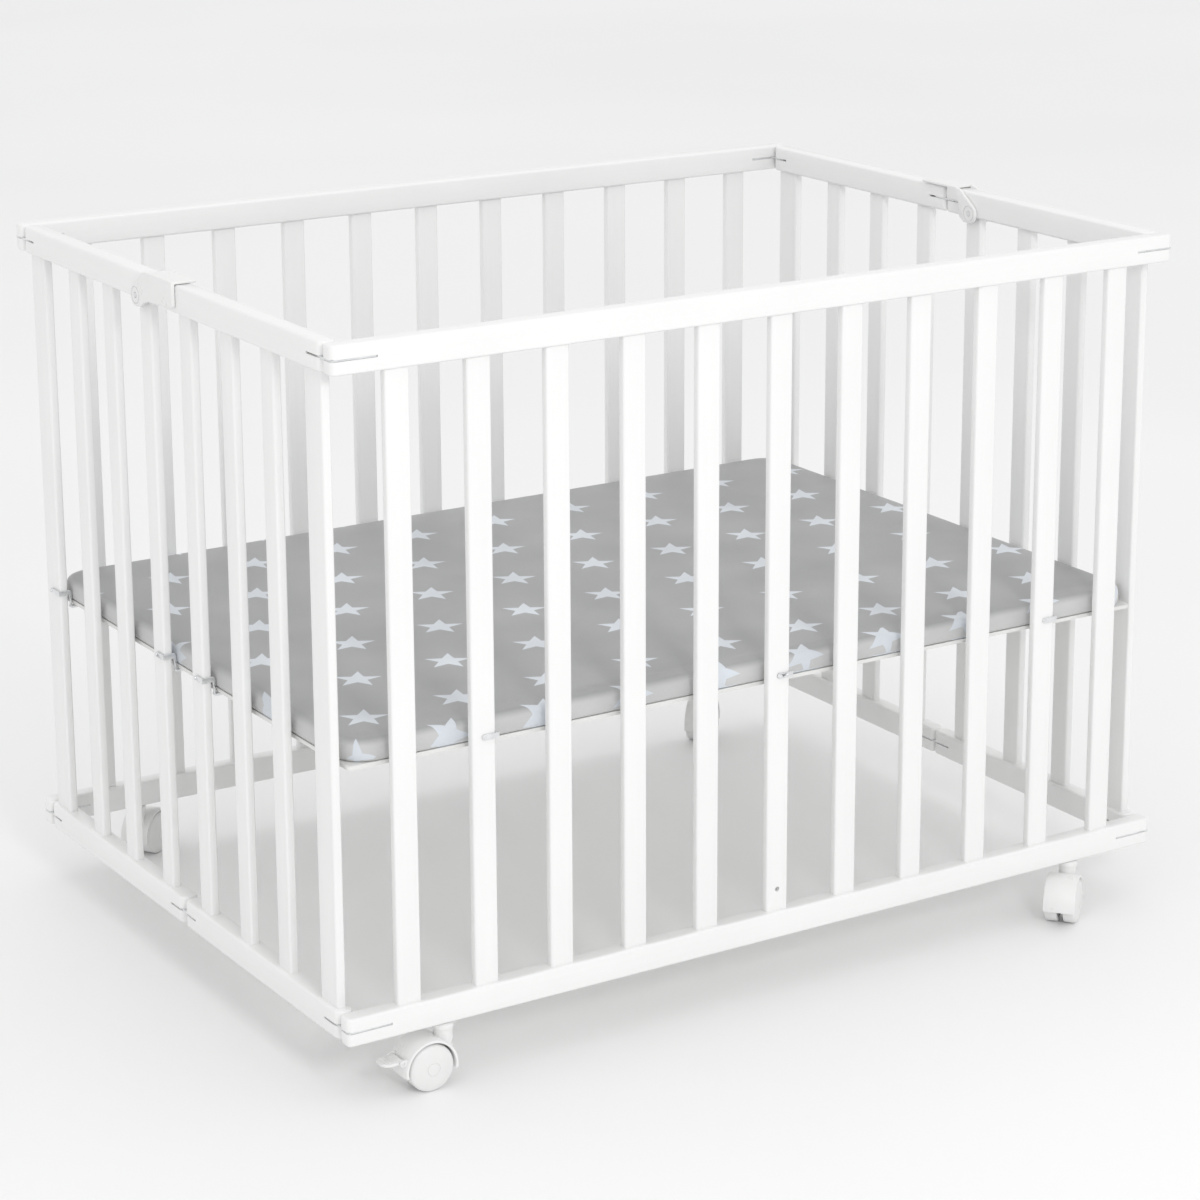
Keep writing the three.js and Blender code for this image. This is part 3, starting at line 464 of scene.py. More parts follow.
def rod(start, stop, radius, finish="zinc_plate", steps=24, edge=0.0, name="shape", place=None):
    """A round pin between two points, with its end edges eased."""
    bm = bmesh.new()
    along = Vector(stop) - Vector(start)
    bmesh.ops.create_cone(bm, cap_ends=True, segments=steps, radius1=radius, radius2=radius,
                          depth=along.length)
    if edge > 0:
        rims = [e for e in bm.edges if abs(e.verts[0].co.z - e.verts[1].co.z) < LEVEL_TOLERANCE]
        bmesh.ops.bevel(bm, geom=rims, offset=edge, segments=2, profile=0.5, affect="EDGES")
    turn = along.to_track_quat("Z", "Y").to_matrix().to_4x4()
    bm.transform(Matrix.Translation((Vector(start) + Vector(stop)) / 2) @ turn)
    if place is not None:
        bm.transform(place)
    return object_from(bm, name, finish)


def lathe(profile, place, finish, name, steps=64):
    """A closed profile of (radius, along) points turned about the local Y axis."""
    bm = bmesh.new()
    rings = []
    for i in range(steps):
        a = 2 * math.pi * i / steps
        rings.append([bm.verts.new((r * math.cos(a), v, r * math.sin(a))) for r, v in profile])
    count = len(profile)
    for i in range(steps):
        near, far = rings[i], rings[(i + 1) % steps]
        for k in range(count):
            n = (k + 1) % count
            bm.faces.new((near[k], near[n], far[n], far[k]))
    bmesh.ops.remove_doubles(bm, verts=bm.verts, dist=1e-5)
    bm.transform(place)
    return crease(object_from(bm, name, finish), math.radians(32))


def settle(obj, body, nodes=()):
    """Puts a finished piece on its body, in the place of its CAD nodes."""
    if nodes:
        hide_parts(*nodes)
    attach(obj, body)


# ---------------------------------------------------------------- wooden frame

# Sizes and places in millimetres. Levels are above the floor, or above a rail's underside.

SLOT_HEIGHT = 2.3
RAIL_END = 6.0
SLOT_LEVEL = 15.0
PEG_HOLE = 2.8
HOOK_LEVEL = 360.0
SPARE_LEVEL = 120.0
HOOKED_LONG = (1, 5, 9)
LONG_SLATS = 11
LONG_FIRST = 72.5
LONG_PITCH = 89.5
SIDE_SLATS = (49.5, 148.0, 237.5, 333.0)
SLAT_WIDTH = 27.0
CORNER_SLAT = 36.0
SLAT_THICKNESS = 10.0
HALF_WIDTH = 381.0
PIVOT_Y = 349.0
MID_PIN = 20.0
LONG_PANEL_Y = 371.0
SIDE_PANEL_X = 510.0
RAIL_HEIGHT = 30.0
HALF_RAIL = 10.0
HALF_GAP = 1.25
PIN_HOLE = 2.3
SLAT_FOOT = 28.0
SLAT_HEAD = 2.0
LATCH_PIVOT = (50.0, 753.0)
BOLT_HOLE = 3.3


def saw_slot(x0, x1, y0, y1, level):
    """The cutter of a saw cut at a level."""
    return bar((x0, y0, level - SLOT_HEIGHT / 2), (x1, y1, level + SLOT_HEIGHT / 2),
               "white_lacquer_x", 0.05, steps=1)


def rail_in(node):
    """Lowest and highest corner of the rail in a CAD node, and the rail's name."""
    low, high = corners_of(node)
    if "slat_grid" in node:
        high = Vector((high.x, high.y, low.z + RAIL_HEIGHT))
    return low, high, node.replace("slat_grid", "bottom_rail")


def long_rail(node, edge):
    """A long rail with the saw cuts and pin holes at both ends."""
    low, high, name = rail_in(node)
    turn = RAIL_END
    outline = (arc((high.x - turn, low.y + turn), turn, -90, 0, 6)
               + arc((high.x - turn, high.y - turn), turn, 0, 90, 6)
               + arc((low.x + turn, high.y - turn), turn, 90, 180, 6)
               + arc((low.x + turn, low.y + turn), turn, 180, 270, 6))
    made = prism(outline, "z", low.z, high.z, "white_lacquer_x", edge, 4, name)
    middle_y = (low.y + high.y) / 2
    cutters = []
    for end in (-1, 1):
        tip, inner = end * (high.x + 2), end * (high.x - 49.6)
        cutters.append(saw_slot(min(tip, inner), max(tip, inner), low.y - 2, high.y + 2,
                                low.z + SLOT_LEVEL))
        pin = end * (high.x - 42.0)
        cutters.append(rod((pin, middle_y, low.z - 2), (pin, middle_y, low.z + 27), PIN_HOLE))
    return crease(combine(made, cutters, "DIFFERENCE"))


def half_rail(node, toward, edge):
    """Half of a side rail: a round end at the corner and an eased end at the middle joint."""
    low, high, name = rail_in(node)
    x = (low.x + high.x) / 2
    out = math.copysign(1, x)
    outline = arc((0, PIVOT_Y), HALF_RAIL, 0, 180, 16)
    outline += arc((RAIL_END - HALF_RAIL, HALF_GAP + RAIL_END), RAIL_END, 180, 270, 8)
    outline += arc((0.001, HALF_GAP + HALF_RAIL), HALF_RAIL, 270, 360, 10)
    outline = [(x + out * a, toward * b) for a, b in outline]
    made = prism(outline, "z", low.z, high.z, "white_lacquer_y", edge, 4, name)
    cutters = [saw_slot(low.x - 2, high.x + 2, *sorted((toward * a, toward * b)), low.z + SLOT_LEVEL)
               for a, b in ((329, 362), (-2, 31))]
    cutters += [rod((x, toward * y, low.z - 2), (x, toward * y, low.z + 27.3), PIN_HOLE)
                for y in (PIVOT_Y, MID_PIN)]
    return crease(combine(made, cutters, "DIFFERENCE"))


def slat(x, y, wide_x, wide_y, bottom, top, edge, holes, name):
    """An upright slat, with peg holes through its thin side if it carries a hook."""
    low = (x - wide_x / 2, y - wide_y / 2, bottom)
    high = (x + wide_x / 2, y + wide_y / 2, top)
    made = bar(low, high, "white_lacquer_z", edge, name=name, steps=4)
    if holes:
        reach = Vector((0, 9, 0)) if wide_y < wide_x else Vector((9, 0, 0))
        cutters = []
        for level in (HOOK_LEVEL, SPARE_LEVEL):
            middle = Vector((x, y, level))
            cutters.append(rod(middle - reach, middle + reach, PEG_HOLE, steps=28))
        made = combine(made, cutters, "DIFFERENCE")
    return crease(made)


class PLAYPEN_OT_long_panels(bpy.types.Operator):
    """Front and back panels: two rails and eleven slats each"""

    bl_idname = "playpen.long_panels"
    bl_label = "Long panels"

    def execute(self, context):
        sizes = context.scene.playpen_sizes
        for panel in ("front", "back"):
            body = f"{panel}_panel"
            top, grid = f"{panel}_top_rail", f"{panel}_slat_grid"
            settle(long_rail(top, sizes.rail_edge / MM), body, [top])
            settle(long_rail(grid, sizes.rail_edge / MM), body, [grid])
            low, high = corners_of(top)
            grid_low, _ = corners_of(grid)
            y = (low.y + high.y) / 2
            for i in range(LONG_SLATS):
                x = low.x + LONG_FIRST + LONG_PITCH * i
                made = slat(x, y, SLAT_WIDTH, SLAT_THICKNESS, grid_low.z + SLAT_FOOT, low.z + SLAT_HEAD,
                            sizes.slat_edge / MM, i in HOOKED_LONG, f"{panel}_slat_{i + 1}")
                settle(made, body)
        return {"FINISHED"}


class PLAYPEN_OT_side_panels(bpy.types.Operator):
    """The four folding halves of the short sides"""

    bl_idname = "playpen.side_panels"
    bl_label = "Side panels"

    def execute(self, context):
        sizes = context.scene.playpen_sizes
        for side in SIDES:
            for half in HALVES:
                body = f"{side}_{half}_half"
                toward = 1 if half == "rear" else -1
                top, grid = f"{side}_{half}_top_rail", f"{side}_{half}_slat_grid"
                rail = half_rail(top, toward, sizes.rail_edge / MM)
                low, high = corners_of(top)
                x = (low.x + high.x) / 2
                if (side, half) in (("left", "rear"), ("right", "front")):
                    y = toward * LATCH_PIVOT[0]
                    bolt = rod((x - 14, y, low.z + 5), (x + 14, y, low.z + 5), BOLT_HOLE)
                    rail = crease(combine(rail, [bolt], "DIFFERENCE"))
                settle(rail, body, [top])
                settle(half_rail(grid, toward, sizes.rail_edge / MM), body, [grid])
                grid_low, _ = corners_of(grid)
                for i, distance in enumerate(SIDE_SLATS):
                    wide = CORNER_SLAT if i == 0 else SLAT_WIDTH
                    made = slat(x, toward * (HALF_WIDTH - distance), SLAT_THICKNESS, wide,
                                grid_low.z + SLAT_FOOT, low.z + SLAT_HEAD, sizes.slat_edge / MM,
                                i in (0, 3), f"{side}_{half}_slat_{i + 1}")
                    settle(made, body)
        return {"FINISHED"}


# ---------------------------------------------------------------- metal pieces


class PLAYPEN_OT_hinge_metal(bpy.types.Operator):
    """Hinge plates, link plates and pins, which keep their shapes"""

    bl_idname = "playpen.hinge_metal"
    bl_label = "Hinge metal"

    def execute(self, context):
        for name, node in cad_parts.items():
            if name.startswith(("corner_plate", "link_plate", "floor_hinge_pin", "latch_bolt")):
                node.data.materials.clear()
                node.data.materials.append(FINISHES["zinc_plate"])
                crease(node, math.radians(50))
            elif name.startswith("floor_board"):
                node.data.materials.clear()
                node.data.materials.append(FINISHES["coated_board"])
        return {"FINISHED"}


HOOK_THICKNESS = 2.5
HOOK_GAP = 0.3
FLOOR_AXIS = (329.0, 342.5)
HOOK_TIP = 3.1
ARM_HALF = 2.8
METAL_EDGE = 0.4
PEG = 2.1


def long_hook(name, x):
    """A hook of the front panel: a flat arm on the slat's face, bent inwards under the board."""
    face = -LONG_PANEL_Y - SLAT_THICKNESS / 2 - HOOK_GAP
    front = face - HOOK_THICKNESS
    plate = x + SLAT_WIDTH / 2 + HOOK_GAP
    right = plate + HOOK_THICKNESS
    axis = (-FLOOR_AXIS[0], FLOOR_AXIS[1])
    arm = prism(
        [(right, HOOK_LEVEL - ARM_HALF), (right, HOOK_LEVEL + ARM_HALF)]
        + arc((x, HOOK_LEVEL), ARM_HALF, 90, 270, 14),
        "y", front, face, "zinc_plate", METAL_EDGE, 2, name)
    web = prism(
        [(front, HOOK_LEVEL - ARM_HALF), (-366.0, HOOK_LEVEL - ARM_HALF), (-361.0, axis[1] - HOOK_TIP)]
        + arc(axis, HOOK_TIP, -90, 90, 10)
        + [(-357.5, axis[1] + HOOK_TIP), (-357.5, HOOK_LEVEL + ARM_HALF - 2.0)]
        + arc((-359.5, HOOK_LEVEL + ARM_HALF - 2.0), 2.0, 0, 90, 4)[1:] + [(front, HOOK_LEVEL + ARM_HALF)],
        "x", plate, right, "zinc_plate", METAL_EDGE, 2)
    head = rod((x, front - 1.0, HOOK_LEVEL), (x, -367.0, HOOK_LEVEL), PEG, steps=28, edge=METAL_EDGE)
    middle = plate + HOOK_THICKNESS / 2
    pin = rod((middle - 5.7, *axis), (middle + 5.7, *axis), 1.5, steps=20, edge=0.3)
    return crease(combine(arm, [web, head, pin], "UNION"), math.radians(30))


def side_hook(name, y, wide):
    """A hook of the left side: a flat arm on the slat's face, bent inwards to a ledge under the board."""
    face = -SIDE_PANEL_X - SLAT_THICKNESS / 2 - HOOK_GAP
    front = face - HOOK_THICKNESS
    back = y - wide / 2 - HOOK_GAP
    near = back - HOOK_THICKNESS
    arm = prism(
        [(near, HOOK_LEVEL - ARM_HALF)] + arc((y, HOOK_LEVEL), ARM_HALF, -90, 90, 14)
        + [(near, HOOK_LEVEL + ARM_HALF)],
        "x", front, face, "zinc_plate", METAL_EDGE, 2, name)
    wrap = prism(
        [(front, HOOK_LEVEL - ARM_HALF), (-505.0, HOOK_LEVEL - ARM_HALF), (-503.8, 343.2), (-492.5, 343.2),
         (-492.5, 345.7), (-502.0, 345.7), (-502.0, HOOK_LEVEL + 1.0), (-503.8, HOOK_LEVEL + ARM_HALF),
         (front, HOOK_LEVEL + ARM_HALF)],
        "y", near, back, "zinc_plate", METAL_EDGE, 2)
    ledge = bar((-504.7, back - 7.0, 343.2), (-492.5, back, 345.7), "zinc_plate", METAL_EDGE, steps=2)
    head = rod((front - 1.0, y, HOOK_LEVEL), (-506.0, y, HOOK_LEVEL), PEG, steps=28, edge=METAL_EDGE)
    return crease(combine(arm, [wrap, ledge, head], "UNION"), math.radians(30))


HALF_TURN = Matrix.Rotation(math.pi, 4, "Z")


def turned(obj):
    """The object turned half round about the frame's middle."""
    obj.data.transform(HALF_TURN)
    return obj


class PLAYPEN_OT_hooks(bpy.types.Operator):
    """Zinc plated hooks that carry the floor"""

    bl_idname = "playpen.hooks"
    bl_label = "Hooks"

    def execute(self, context):
        for i, index in enumerate(HOOKED_LONG):
            x = -520.0 + LONG_FIRST + LONG_PITCH * index
            settle(long_hook(f"front_hook_{i + 1}", x), "front_panel",
                   [f"hook_front_{i + 1}"])
            settle(turned(long_hook(f"back_hook_{i + 1}", x)), "back_panel",
                   [f"hook_back_{i + 1}"])
        corner, middle = HALF_WIDTH - SIDE_SLATS[0], HALF_WIDTH - SIDE_SLATS[3]
        places = ((corner, CORNER_SLAT, HALVES), (middle, SLAT_WIDTH, HALVES),
                  (-middle, SLAT_WIDTH, HALVES[::-1]))
        for i, (y, wide, (left, right)) in enumerate(places):
            settle(side_hook(f"left_hook_{i + 1}", y, wide), f"left_{left}_half",
                   [f"hook_left_{i + 1}"])
            settle(turned(side_hook(f"right_hook_{i + 1}", y, wide)), f"right_{right}_half",
                   [f"hook_right_{i + 1}"])
        return {"FINISHED"}


# ---------------------------------------------------------------- latches


def latch(name):
    """The left latch cap: cheeks with a round boss, and a plate over the rail's joint."""
    outer, inner = -520.3, -499.7
    cheek = 4.0
    pivot = LATCH_PIVOT
    top, under = 781.5, 778.5

    boss = arc(pivot, 12.0, -100, 66, 22) + [(33.0, top - 2.2)] + arc((24.0, top - 5.0), 5.0, 60, 90, 3)
    near_end = (arc((-37.0, top - 3.0), 3.0, 90, 180, 5) + arc((-36.0, 758.0), 4.0, 180, 262, 5)
                + [(20.0, 750.5), (30.0, 747.5), (38.0, 742.5)])
    far_end = (arc((10.0, top - 2.0), 2.0, 90, 180, 4) + arc((9.5, 767.0), 1.5, 180, 270, 3)
               + [(29.5, 765.5), (29.5, 753.0), (33.0, 747.0), (40.0, 742.0)])
    body = prism(boss + near_end, "x", outer - cheek, outer, "latch_plastic", 1.0, 3, name)
    far = prism(boss + far_end, "x", inner, inner + cheek, "latch_plastic", 1.0, 3)
    plate = bar((outer - cheek, -40.0, under), (inner + cheek, 22.0, top), "latch_plastic", 1.2, steps=3)
    collars = [rod((outer - cheek, *pivot), (outer - 1, *pivot), 9.0, "latch_plastic", 40, 0.6),
               rod((inner + 1, *pivot), (inner + cheek, *pivot), 9.0, "latch_plastic", 40, 0.6)]
    combine(body, [far, plate, *collars], "UNION")
    bore = rod((outer - cheek - 2, *pivot), (inner + cheek + 2, *pivot), BOLT_HOLE, steps=32)
    grooves = []
    for low, high in ((outer - cheek - 1, outer - cheek + 0.8), (inner + cheek - 0.8, inner + cheek + 1)):
        ring = rod((low, *pivot), (high, *pivot), 9.4, steps=40)
        core = rod((low - 1, *pivot), (high + 1, *pivot), 8.4, steps=40)
        grooves.append(combine(ring, [core], "DIFFERENCE"))
    combine(body, [bore, *grooves], "DIFFERENCE")
    return crease(body, math.radians(35))


class PLAYPEN_OT_latches(bpy.types.Operator):
    """White plastic caps that lock the folding top rails"""

    bl_idname = "playpen.latches"
    bl_label = "Latches"

    def execute(self, context):
        settle(latch("latch_left"), "left_latch", ["latch_cap_left"])
        settle(turned(latch("latch_right")), "right_latch", ["latch_cap_right"])
        return {"FINISHED"}


# ---------------------------------------------------------------- castors

# Where each castor stands, its swivel angle in degrees and whether it has a brake.
CASTOR_PLACES = {
    "front_left": (-408.0, -371.0, 180.0, True),
    "front_right": (408.0, -371.0, 220.0, False),
    "rear_right": (408.0, 371.0, 225.0, False),
    "rear_left": (-408.0, 371.0, 33.8, True),
}
TRAIL = 22.0
WHEEL = 25.0
HOOD = 30.0
BARREL = 2.8
PEDAL_GAP = 0.6
PEDAL_ANGLE = 0.35
WHEEL_PROFILE = (
    (3.3, 3.4), (8.0, 3.4), (8.0, 4.6), (20.0, 4.6), (20.0, 3.4), (23.6, 3.4), (24.6, 3.8), (25.0, 4.8),
    (25.0, 14.4), (24.7, 15.8), (23.9, 17.0), (22.4, 17.9), (19.0, 18.9), (14.0, 19.7), (9.0, 20.1),
    (7.4, 20.2), (7.1, 19.7), (6.7, 19.7), (6.4, 20.3), (3.0, 20.5), (0.0, 20.5), (0.0, 18.0),
    (3.3, 17.8),
)


def hood(name, place, braked):
    """A castor hood: a horseshoe shell over the wheels, a web between them, the stem's boss and the axle."""
    axle = (TRAIL, WHEEL)
    shell = prism(arc(axle, HOOD, -10, 190, 44) + arc(axle, HOOD - 3.0, 190, -10, 44),
                  "y", -18.0, 18.0, "latch_plastic", 0.8, 2, name, place)
    web = prism(arc(axle, 28.0, 0, 180, 30) + arc(axle, 8.0, 180, 360, 14), "y", -3.0, 3.0,
                "latch_plastic", 0.6, 2, place=place)
    boss = rod((0, 0, 38), (0, 0, 65.5), 10.0, "latch_plastic", 40, 1.0, place=place)
    core = rod((axle[0], -30, axle[1]), (axle[0], 30, axle[1]), 28.0, "latch_plastic", 64, place=place)
    combine(boss, [core], "DIFFERENCE")
    collar = rod((0, 0, 59), (0, 0, 64.8), 11.2, "latch_plastic", 40, 0.8, place=place)
    stem = rod((0, 0, 62), (0, 0, 86), 4.0, "latch_plastic", 24, 0.5, place=place)
    pin = rod((axle[0], -17, axle[1]), (axle[0], 17, axle[1]), 3.0, "latch_plastic", 24, 0.4, place=place)
    tools = [web, boss, collar, stem, pin]
    if braked:
        u, w = pedal_pivot()
        for sign in (-1, 1):
            low, high = sorted((sign * 11.3, sign * 14.3))
            ear = prism([(u - 5.0, w + 3.5)] + arc((u, w), 3.5, 90, -90, 10) + [(u - 4.5, w - 3.5)],
                        "y", low, high, "latch_plastic", 0.4, 2, place=place)
            hole = rod((u, low - 1, w), (u, high + 1, w), 1.8, place=place)
            tools.append(combine(ear, [hole], "DIFFERENCE"))
    return crease(combine(shell, tools, "UNION"), math.radians(34))


def pedal_pivot():
    """Where a brake pedal turns, along the trail and up."""
    reach = HOOD + BARREL + PEDAL_GAP
    return TRAIL + reach * math.cos(PEDAL_ANGLE), WHEEL + reach * math.sin(PEDAL_ANGLE)


def wheel(name, place, sign):
    """One wheel of a castor: a flat tread, a domed disc and a raised hub cap."""
    flip = Matrix.Identity(4) if sign > 0 else Matrix.Rotation(math.pi, 4, "Z")
    middle = Matrix.Translation((TRAIL, 0, WHEEL))
    return lathe(WHEEL_PROFILE, place @ middle @ flip, "wheel_plastic", name)


def pedal(name, place):
    """A brake pedal: a ribbed paddle on a round barrel with pivot stubs."""
    u, w = pedal_pivot()
    paddle = prism([(u, -11.0)] + arc((u + 12.0, -3.0), 8.0, -90, 0, 8) + arc((u + 12.0, 3.0), 8.0, 0, 90, 8)
                   + [(u, 11.0)], "z", w - 1.7, w + 1.7, "latch_plastic", 0.7, 2, name, place)
    tools = [rod((u, -11, w), (u, 11, w), BARREL, "latch_plastic", 24, 0.3, place=place),
             rod((u, -14, w), (u, 14, w), 1.5, "latch_plastic", 20, place=place)]
    for step in (8.0, 11.5, 15.0):
        tools.append(rod((u + step, -7, w + 1.6), (u + step, 7, w + 1.6), 0.7, "latch_plastic", 12,
                         place=place))
    return crease(combine(paddle, tools, "UNION"), math.radians(34))


class PLAYPEN_OT_castors(bpy.types.Operator):
    """Four twin-wheel castors, two of them with brake pedals"""

    bl_idname = "playpen.castors"
    bl_label = "Castors"

    def execute(self, context):
        for name, (x, y, angle, braked) in CASTOR_PLACES.items():
            place = Matrix.Translation((x, y, 0)) @ Matrix.Rotation(math.radians(angle), 4, "Z")
            settle(hood(f"hood_{name}", place, braked), f"castor_{name}",
                   [f"castor_hood_{name}"])
            for side, sign in (("left", 1), ("right", -1)):
                made = wheel(f"wheel_piece_{name}_{side}", place, sign)
                settle(made, f"wheel_{name}_{side}", [f"castor_wheel_{name}_{side}"])
            if braked:
                settle(pedal(f"pedal_{name}", place), f"brake_{name}",
                       [f"brake_lever_{name}"])
        return {"FINISHED"}


# ---------------------------------------------------------------- padded mat

# On the cloth laid flat, in metres: where the front wrap starts, how far the print shifts
# there, and the print's origin.
WRAP_START = 0.330
WRAP_SHIFT = Vector((-0.005, -0.0395))
PRINT_ORIGIN = Vector((-0.449, -0.294))

# The mat's grid, in millimetres. A quarter circle is longer than its radius by ARC_EXCESS radii.
UNDER_EDGE = 3.0
GRID_STEP = 9.0
WALL_ROWS = 6
ARC_EXCESS = 0.57


def spaced(half, fine, step):
    """Positions from -half to half: the fine insets at both ends, even steps between."""
    start = half - fine[-1]
    count = max(2, round(2 * start / step))
    middle = [-start + 2 * start * i / count for i in range(count + 1)]
    return [-half + t for t in fine[:-1]] + middle + [half - t for t in reversed(fine[:-1])]


def rounded_plan(x, y, half_x, half_y, radius):
    """A point of a rectangle's grid moved so that the rectangle's corners are round."""
    dx, dy = abs(x) - (half_x - radius), abs(y) - (half_y - radius)
    if dx <= 0 or dy <= 0:
        return x, y
    reach = math.hypot(dx, dy)
    scale = max(dx, dy) / reach
    return (math.copysign(half_x - radius + dx * scale, x), math.copysign(half_y - radius + dy * scale, y))


def mat_mesh(sizes):
    """The mat as one closed grid: a crowned top, round edges, side walls and a flat underside."""
    low = Vector(map(min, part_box("mattress_rear")[0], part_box("mattress_front")[0])) / MM
    high = Vector(map(max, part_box("mattress_rear")[1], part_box("mattress_front")[1])) / MM
    half_x, half_y = high.x - 1.0, high.y - 0.8
    radius, edge = sizes.pad_corner / MM, sizes.pad_edge / MM
    crown = sizes.pad_crown / MM
    bend = [edge * (1 - math.cos(math.radians(a))) for a in (0, 15, 30, 45, 60, 75, 90)]
    fine = bend + [edge + 4, edge + 9, edge + 15, edge + 22, edge + 30]
    xs, ys = spaced(half_x, fine, GRID_STEP), spaced(half_y, fine, GRID_STEP)

    def top_z(x, y, inset):
        round_off = edge - math.sqrt(max(0.0, edge ** 2 - (edge - min(inset, edge)) ** 2))
        soft = min(1.0, max(0.0, inset - 2) / 60.0)
        rise = crown * (1 - (1 - soft) ** 2)
        broad = (noise.noise(Vector((x, y, 3.0)) / 95.0) * 0.9
                 + noise.noise(Vector((x, y, 9.0)) / 38.0) * 0.35)
        seam = math.exp(-abs(inset - 12.0) / 12.0)
        pucker = noise.noise(Vector((x / 14.0, y / 14.0, 5.0))) * 0.35 * seam
        return high.z - round_off + rise + (broad * soft + pucker) * min(1.0, inset / 4.0)

    def under_z(inset):
        reach = min(inset, UNDER_EDGE)
        return low.z + UNDER_EDGE - math.sqrt(max(0.0, UNDER_EDGE ** 2 - (UNDER_EDGE - reach) ** 2))

    bm = bmesh.new()
    flat = bm.verts.layers.float_vector.new("cloth_flat")
    # Weight of the painted light on the cloth: 0 on the top, 1 on the side walls.
    painted_lit_layer = bm.verts.layers.float.new("painted_lit_side")

    def lay(vert, run, side):
        vert[flat] = print_point(vert.co, half_x, half_y, radius, run)
        vert[painted_lit_layer] = side

    grids = {}
    for layer in ("top", "under"):
        for i, x in enumerate(xs):
            for k, y in enumerate(ys):
                inset = min(half_x - abs(x), half_y - abs(y))
                px, py = rounded_plan(x, y, half_x, half_y, radius)
                z = top_z(x, y, inset) if layer == "top" else under_z(inset)
                vert = bm.verts.new((px, py, z))
                bent = math.asin(max(0.0, 1.0 - inset / edge))
                # The painted light rises round the upper edge, from none on the top to full on the walls.
                side = min(1.0, bent / 1.2) if layer == "top" else 1.0
                lay(vert, edge * (bent - math.sin(bent)), side)
                grids[layer, i, k] = vert
    last_x, last_y = len(xs) - 1, len(ys) - 1
    for i in range(last_x):
        for k in range(last_y):
            for layer in ("top", "under"):
                corners = [grids[layer, i + a, k + b] for a, b in ((0, 0), (1, 0), (1, 1), (0, 1))]
                bm.faces.new(corners if layer == "top" else reversed(corners))
    rim = ([(i, 0) for i in range(last_x)] + [(last_x, k) for k in range(last_y)]
           + [(i, last_y) for i in range(last_x, 0, -1)] + [(0, k) for k in range(last_y, 0, -1)])
    loops = [[grids["top", *ik] for ik in rim]]
    for row in range(1, WALL_ROWS):
        share = row / WALL_ROWS
        loop = []
        for i, k in rim:
            above, below = grids["top", i, k], grids["under", i, k]
            point = above.co.lerp(below.co, share)
            outward = Vector((point.x, point.y, 0.0)) - Vector(rounded_core(point, half_x, half_y, radius))
            swell = 0.7 * math.sin(math.pi * share)
            swell += 0.25 * noise.noise(Vector((point.x / 11.0, point.y / 11.0, share * 2.0)))
            point += outward.normalized() * swell
            vert = bm.verts.new(point)
            lay(vert, ARC_EXCESS * edge + above.co.z - point.z, 1.0)
            loop.append(vert)
        loops.append(loop)
    bottom = [grids["under", *ik] for ik in rim]
    for (i, k), vert in zip(rim, bottom):
        lay(vert, ARC_EXCESS * edge + grids["top", i, k].co.z - vert.co.z, 1.0)
    loops.append(bottom)
    for upper, lower in zip(loops, loops[1:]):
        for n in range(len(rim)):
            m = (n + 1) % len(rim)
            bm.faces.new((upper[m], upper[n], lower[n], lower[m]))
    return object_from(bm, "padded_mat", "star_cotton")


def rounded_core(point, half_x, half_y, radius):
    """The nearest point of the rectangle that is inset by the corner radius."""
    x = max(-(half_x - radius), min(half_x - radius, point[0]))
    y = max(-(half_y - radius), min(half_y - radius, point[1]))
    return x, y, 0.0


def print_point(point, half_x, half_y, radius, run):
    """Where a point of the mat lies on its cloth laid flat, in metres. Run is the cloth past the plan."""
    core = Vector(rounded_core(point, half_x, half_y, radius))
    outward = Vector((point[0], point[1], 0.0)) - core
    if outward.length > 1e-6:
        outward.normalize()
    x, y = (point[0] + outward.x * run) * MM, (point[1] + outward.y * run) * MM
    if y < -WRAP_START:
        x, y = x + WRAP_SHIFT.x, y + WRAP_SHIFT.y
    return Vector((x - PRINT_ORIGIN.x, y - PRINT_ORIGIN.y, 0.0))


class PLAYPEN_OT_mat(bpy.types.Operator):
    """The padded mat with its printed cotton cover, in one piece over both floor halves"""

    bl_idname = "playpen.mat"
    bl_label = "Mat"

    def execute(self, context):
        mat = crease(mat_mesh(context.scene.playpen_sizes), math.radians(80))
        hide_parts("mattress_rear", "mattress_front")
        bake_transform(mat)
        return {"FINISHED"}


# ---------------------------------------------------------------- stage

CAMERA_PLACE = (-1.9162, -3.0934, 1.4540)
CAMERA_TURN = (0.5765, 0.2599)
CAMERA_SENSOR = 36.0
CAMERA_LENS = 99.702
CAMERA_SHIFT = (-0.05, -0.0983)


def area_light(name, place, target, size, power):
    """A square soft light aimed at a point."""
    data = bpy.data.lights.new(name, "AREA")
    data.shape = "SQUARE"
    data.size = size
    data.energy = power
    made = bpy.data.objects.new(name, data)
    made.location = place
    made.rotation_euler = (Vector(target) - Vector(place)).to_track_quat("-Z", "Y").to_euler()
    bpy.context.scene.collection.objects.link(made)


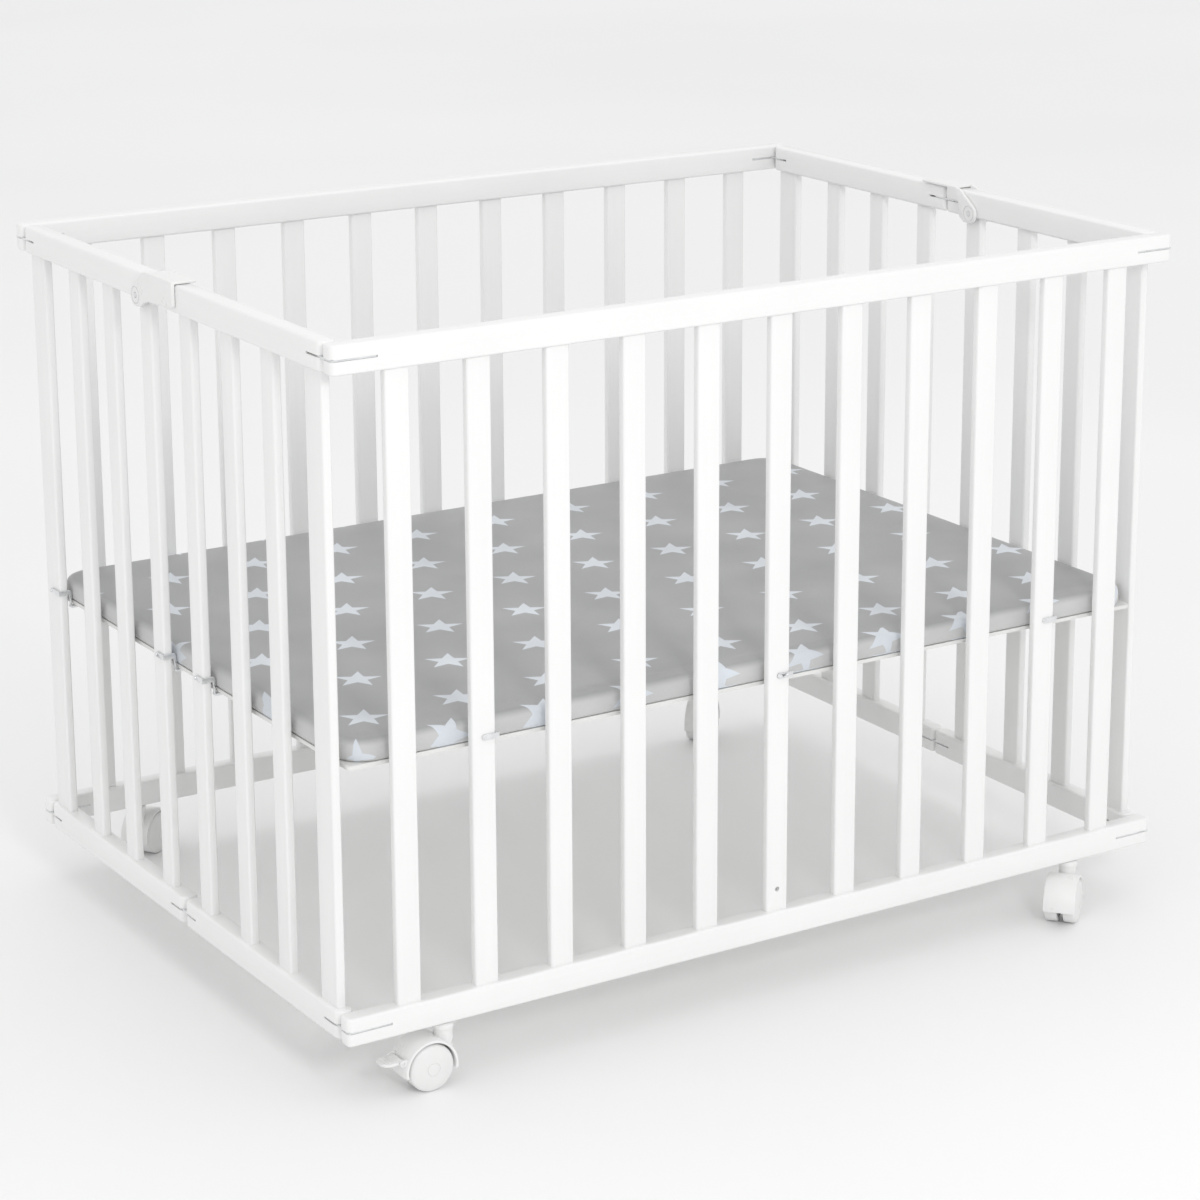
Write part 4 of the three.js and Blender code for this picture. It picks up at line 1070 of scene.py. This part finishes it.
class PLAYPEN_OT_stage(bpy.types.Operator):
    """Pale floor, soft studio light and the camera"""

    bl_idname = "playpen.stage"
    bl_label = "Stage"

    def execute(self, context):
        scene = context.scene
        bm = bmesh.new()
        bmesh.ops.create_grid(bm, x_segments=2, y_segments=2, size=14000.0)
        g, shader, point = new_material("pale_floor")
        tone = g.remap(g.noise(point, 0.6, 2.0, 0.5), 0.3, 0.7, 0.90, 0.93)
        g.feed(shader.inputs["Base Color"], g.merge(tone, tone, tone))
        shader.inputs["Roughness"].default_value = 0.6
        object_from(bm, "pale_ground", "pale_floor")

        world = bpy.data.worlds.new("studio")
        scene.world = world
        world.use_nodes = True
        backdrop = world.node_tree.nodes["Background"]
        backdrop.inputs["Color"].default_value = (1.0, 1.0, 1.0, 1.0)
        backdrop.inputs["Strength"].default_value = 0.93
        area_light("key", (-0.9, -3.8, 2.3), (0, 0, 0.4), size=0.8, power=33)
        area_light("top", (0.3, 0.6, 3.6), (0, 0, 0.3), size=2.6, power=5)

        data = bpy.data.cameras.new("camera")
        data.sensor_width = CAMERA_SENSOR
        data.lens = CAMERA_LENS
        data.shift_x, data.shift_y = CAMERA_SHIFT
        data.clip_end = 60.0
        camera = bpy.data.objects.new("camera", data)
        camera.location = CAMERA_PLACE
        yaw, pitch = CAMERA_TURN
        camera.rotation_euler = (math.pi / 2 - pitch, 0.0, -yaw)
        scene.collection.objects.link(camera)
        scene.camera = camera
        scene.view_settings.view_transform = "Standard"
        return {"FINISHED"}


class PLAYPEN_OT_finishes(bpy.types.Operator):
    """The finishes that the pieces share"""

    bl_idname = "playpen.finishes"
    bl_label = "Finishes"

    def execute(self, context):
        build_finishes(context.scene.playpen_colours, context.scene.playpen_sizes)
        return {"FINISHED"}


OPERATORS = (
    PLAYPEN_OT_finishes,
    PLAYPEN_OT_long_panels,
    PLAYPEN_OT_side_panels,
    PLAYPEN_OT_hinge_metal,
    PLAYPEN_OT_hooks,
    PLAYPEN_OT_latches,
    PLAYPEN_OT_castors,
    PLAYPEN_OT_mat,
    PLAYPEN_OT_stage,
)


class PLAYPEN_PT_panel(bpy.types.Panel):
    """Sizes, colours and building steps of the playpen"""

    bl_idname = "PLAYPEN_PT_panel"
    bl_label = "Playpen"
    bl_space_type = "VIEW_3D"
    bl_region_type = "UI"
    bl_category = "Playpen"

    def draw(self, context):
        for group in (context.scene.playpen_sizes, context.scene.playpen_colours):
            column = self.layout.column(align=True)
            for key in group.__annotations__:
                column.prop(group, key)
        for operator in OPERATORS:
            self.layout.operator(operator.bl_idname)


CLASSES = (PlaypenSizes, PlaypenColours, *OPERATORS, PLAYPEN_PT_panel)


def register():
    for cls in CLASSES:
        bpy.utils.register_class(cls)
    bpy.types.Scene.playpen_sizes = bpy.props.PointerProperty(type=PlaypenSizes)
    bpy.types.Scene.playpen_colours = bpy.props.PointerProperty(type=PlaypenColours)


def unregister():
    del bpy.types.Scene.playpen_colours
    del bpy.types.Scene.playpen_sizes
    for cls in reversed(CLASSES):
        bpy.utils.unregister_class(cls)


def main():
    register()
    for operator in OPERATORS:
        family, step = operator.bl_idname.split(".")
        getattr(getattr(bpy.ops, family), step)()


if __name__ == "__main__":
    main()
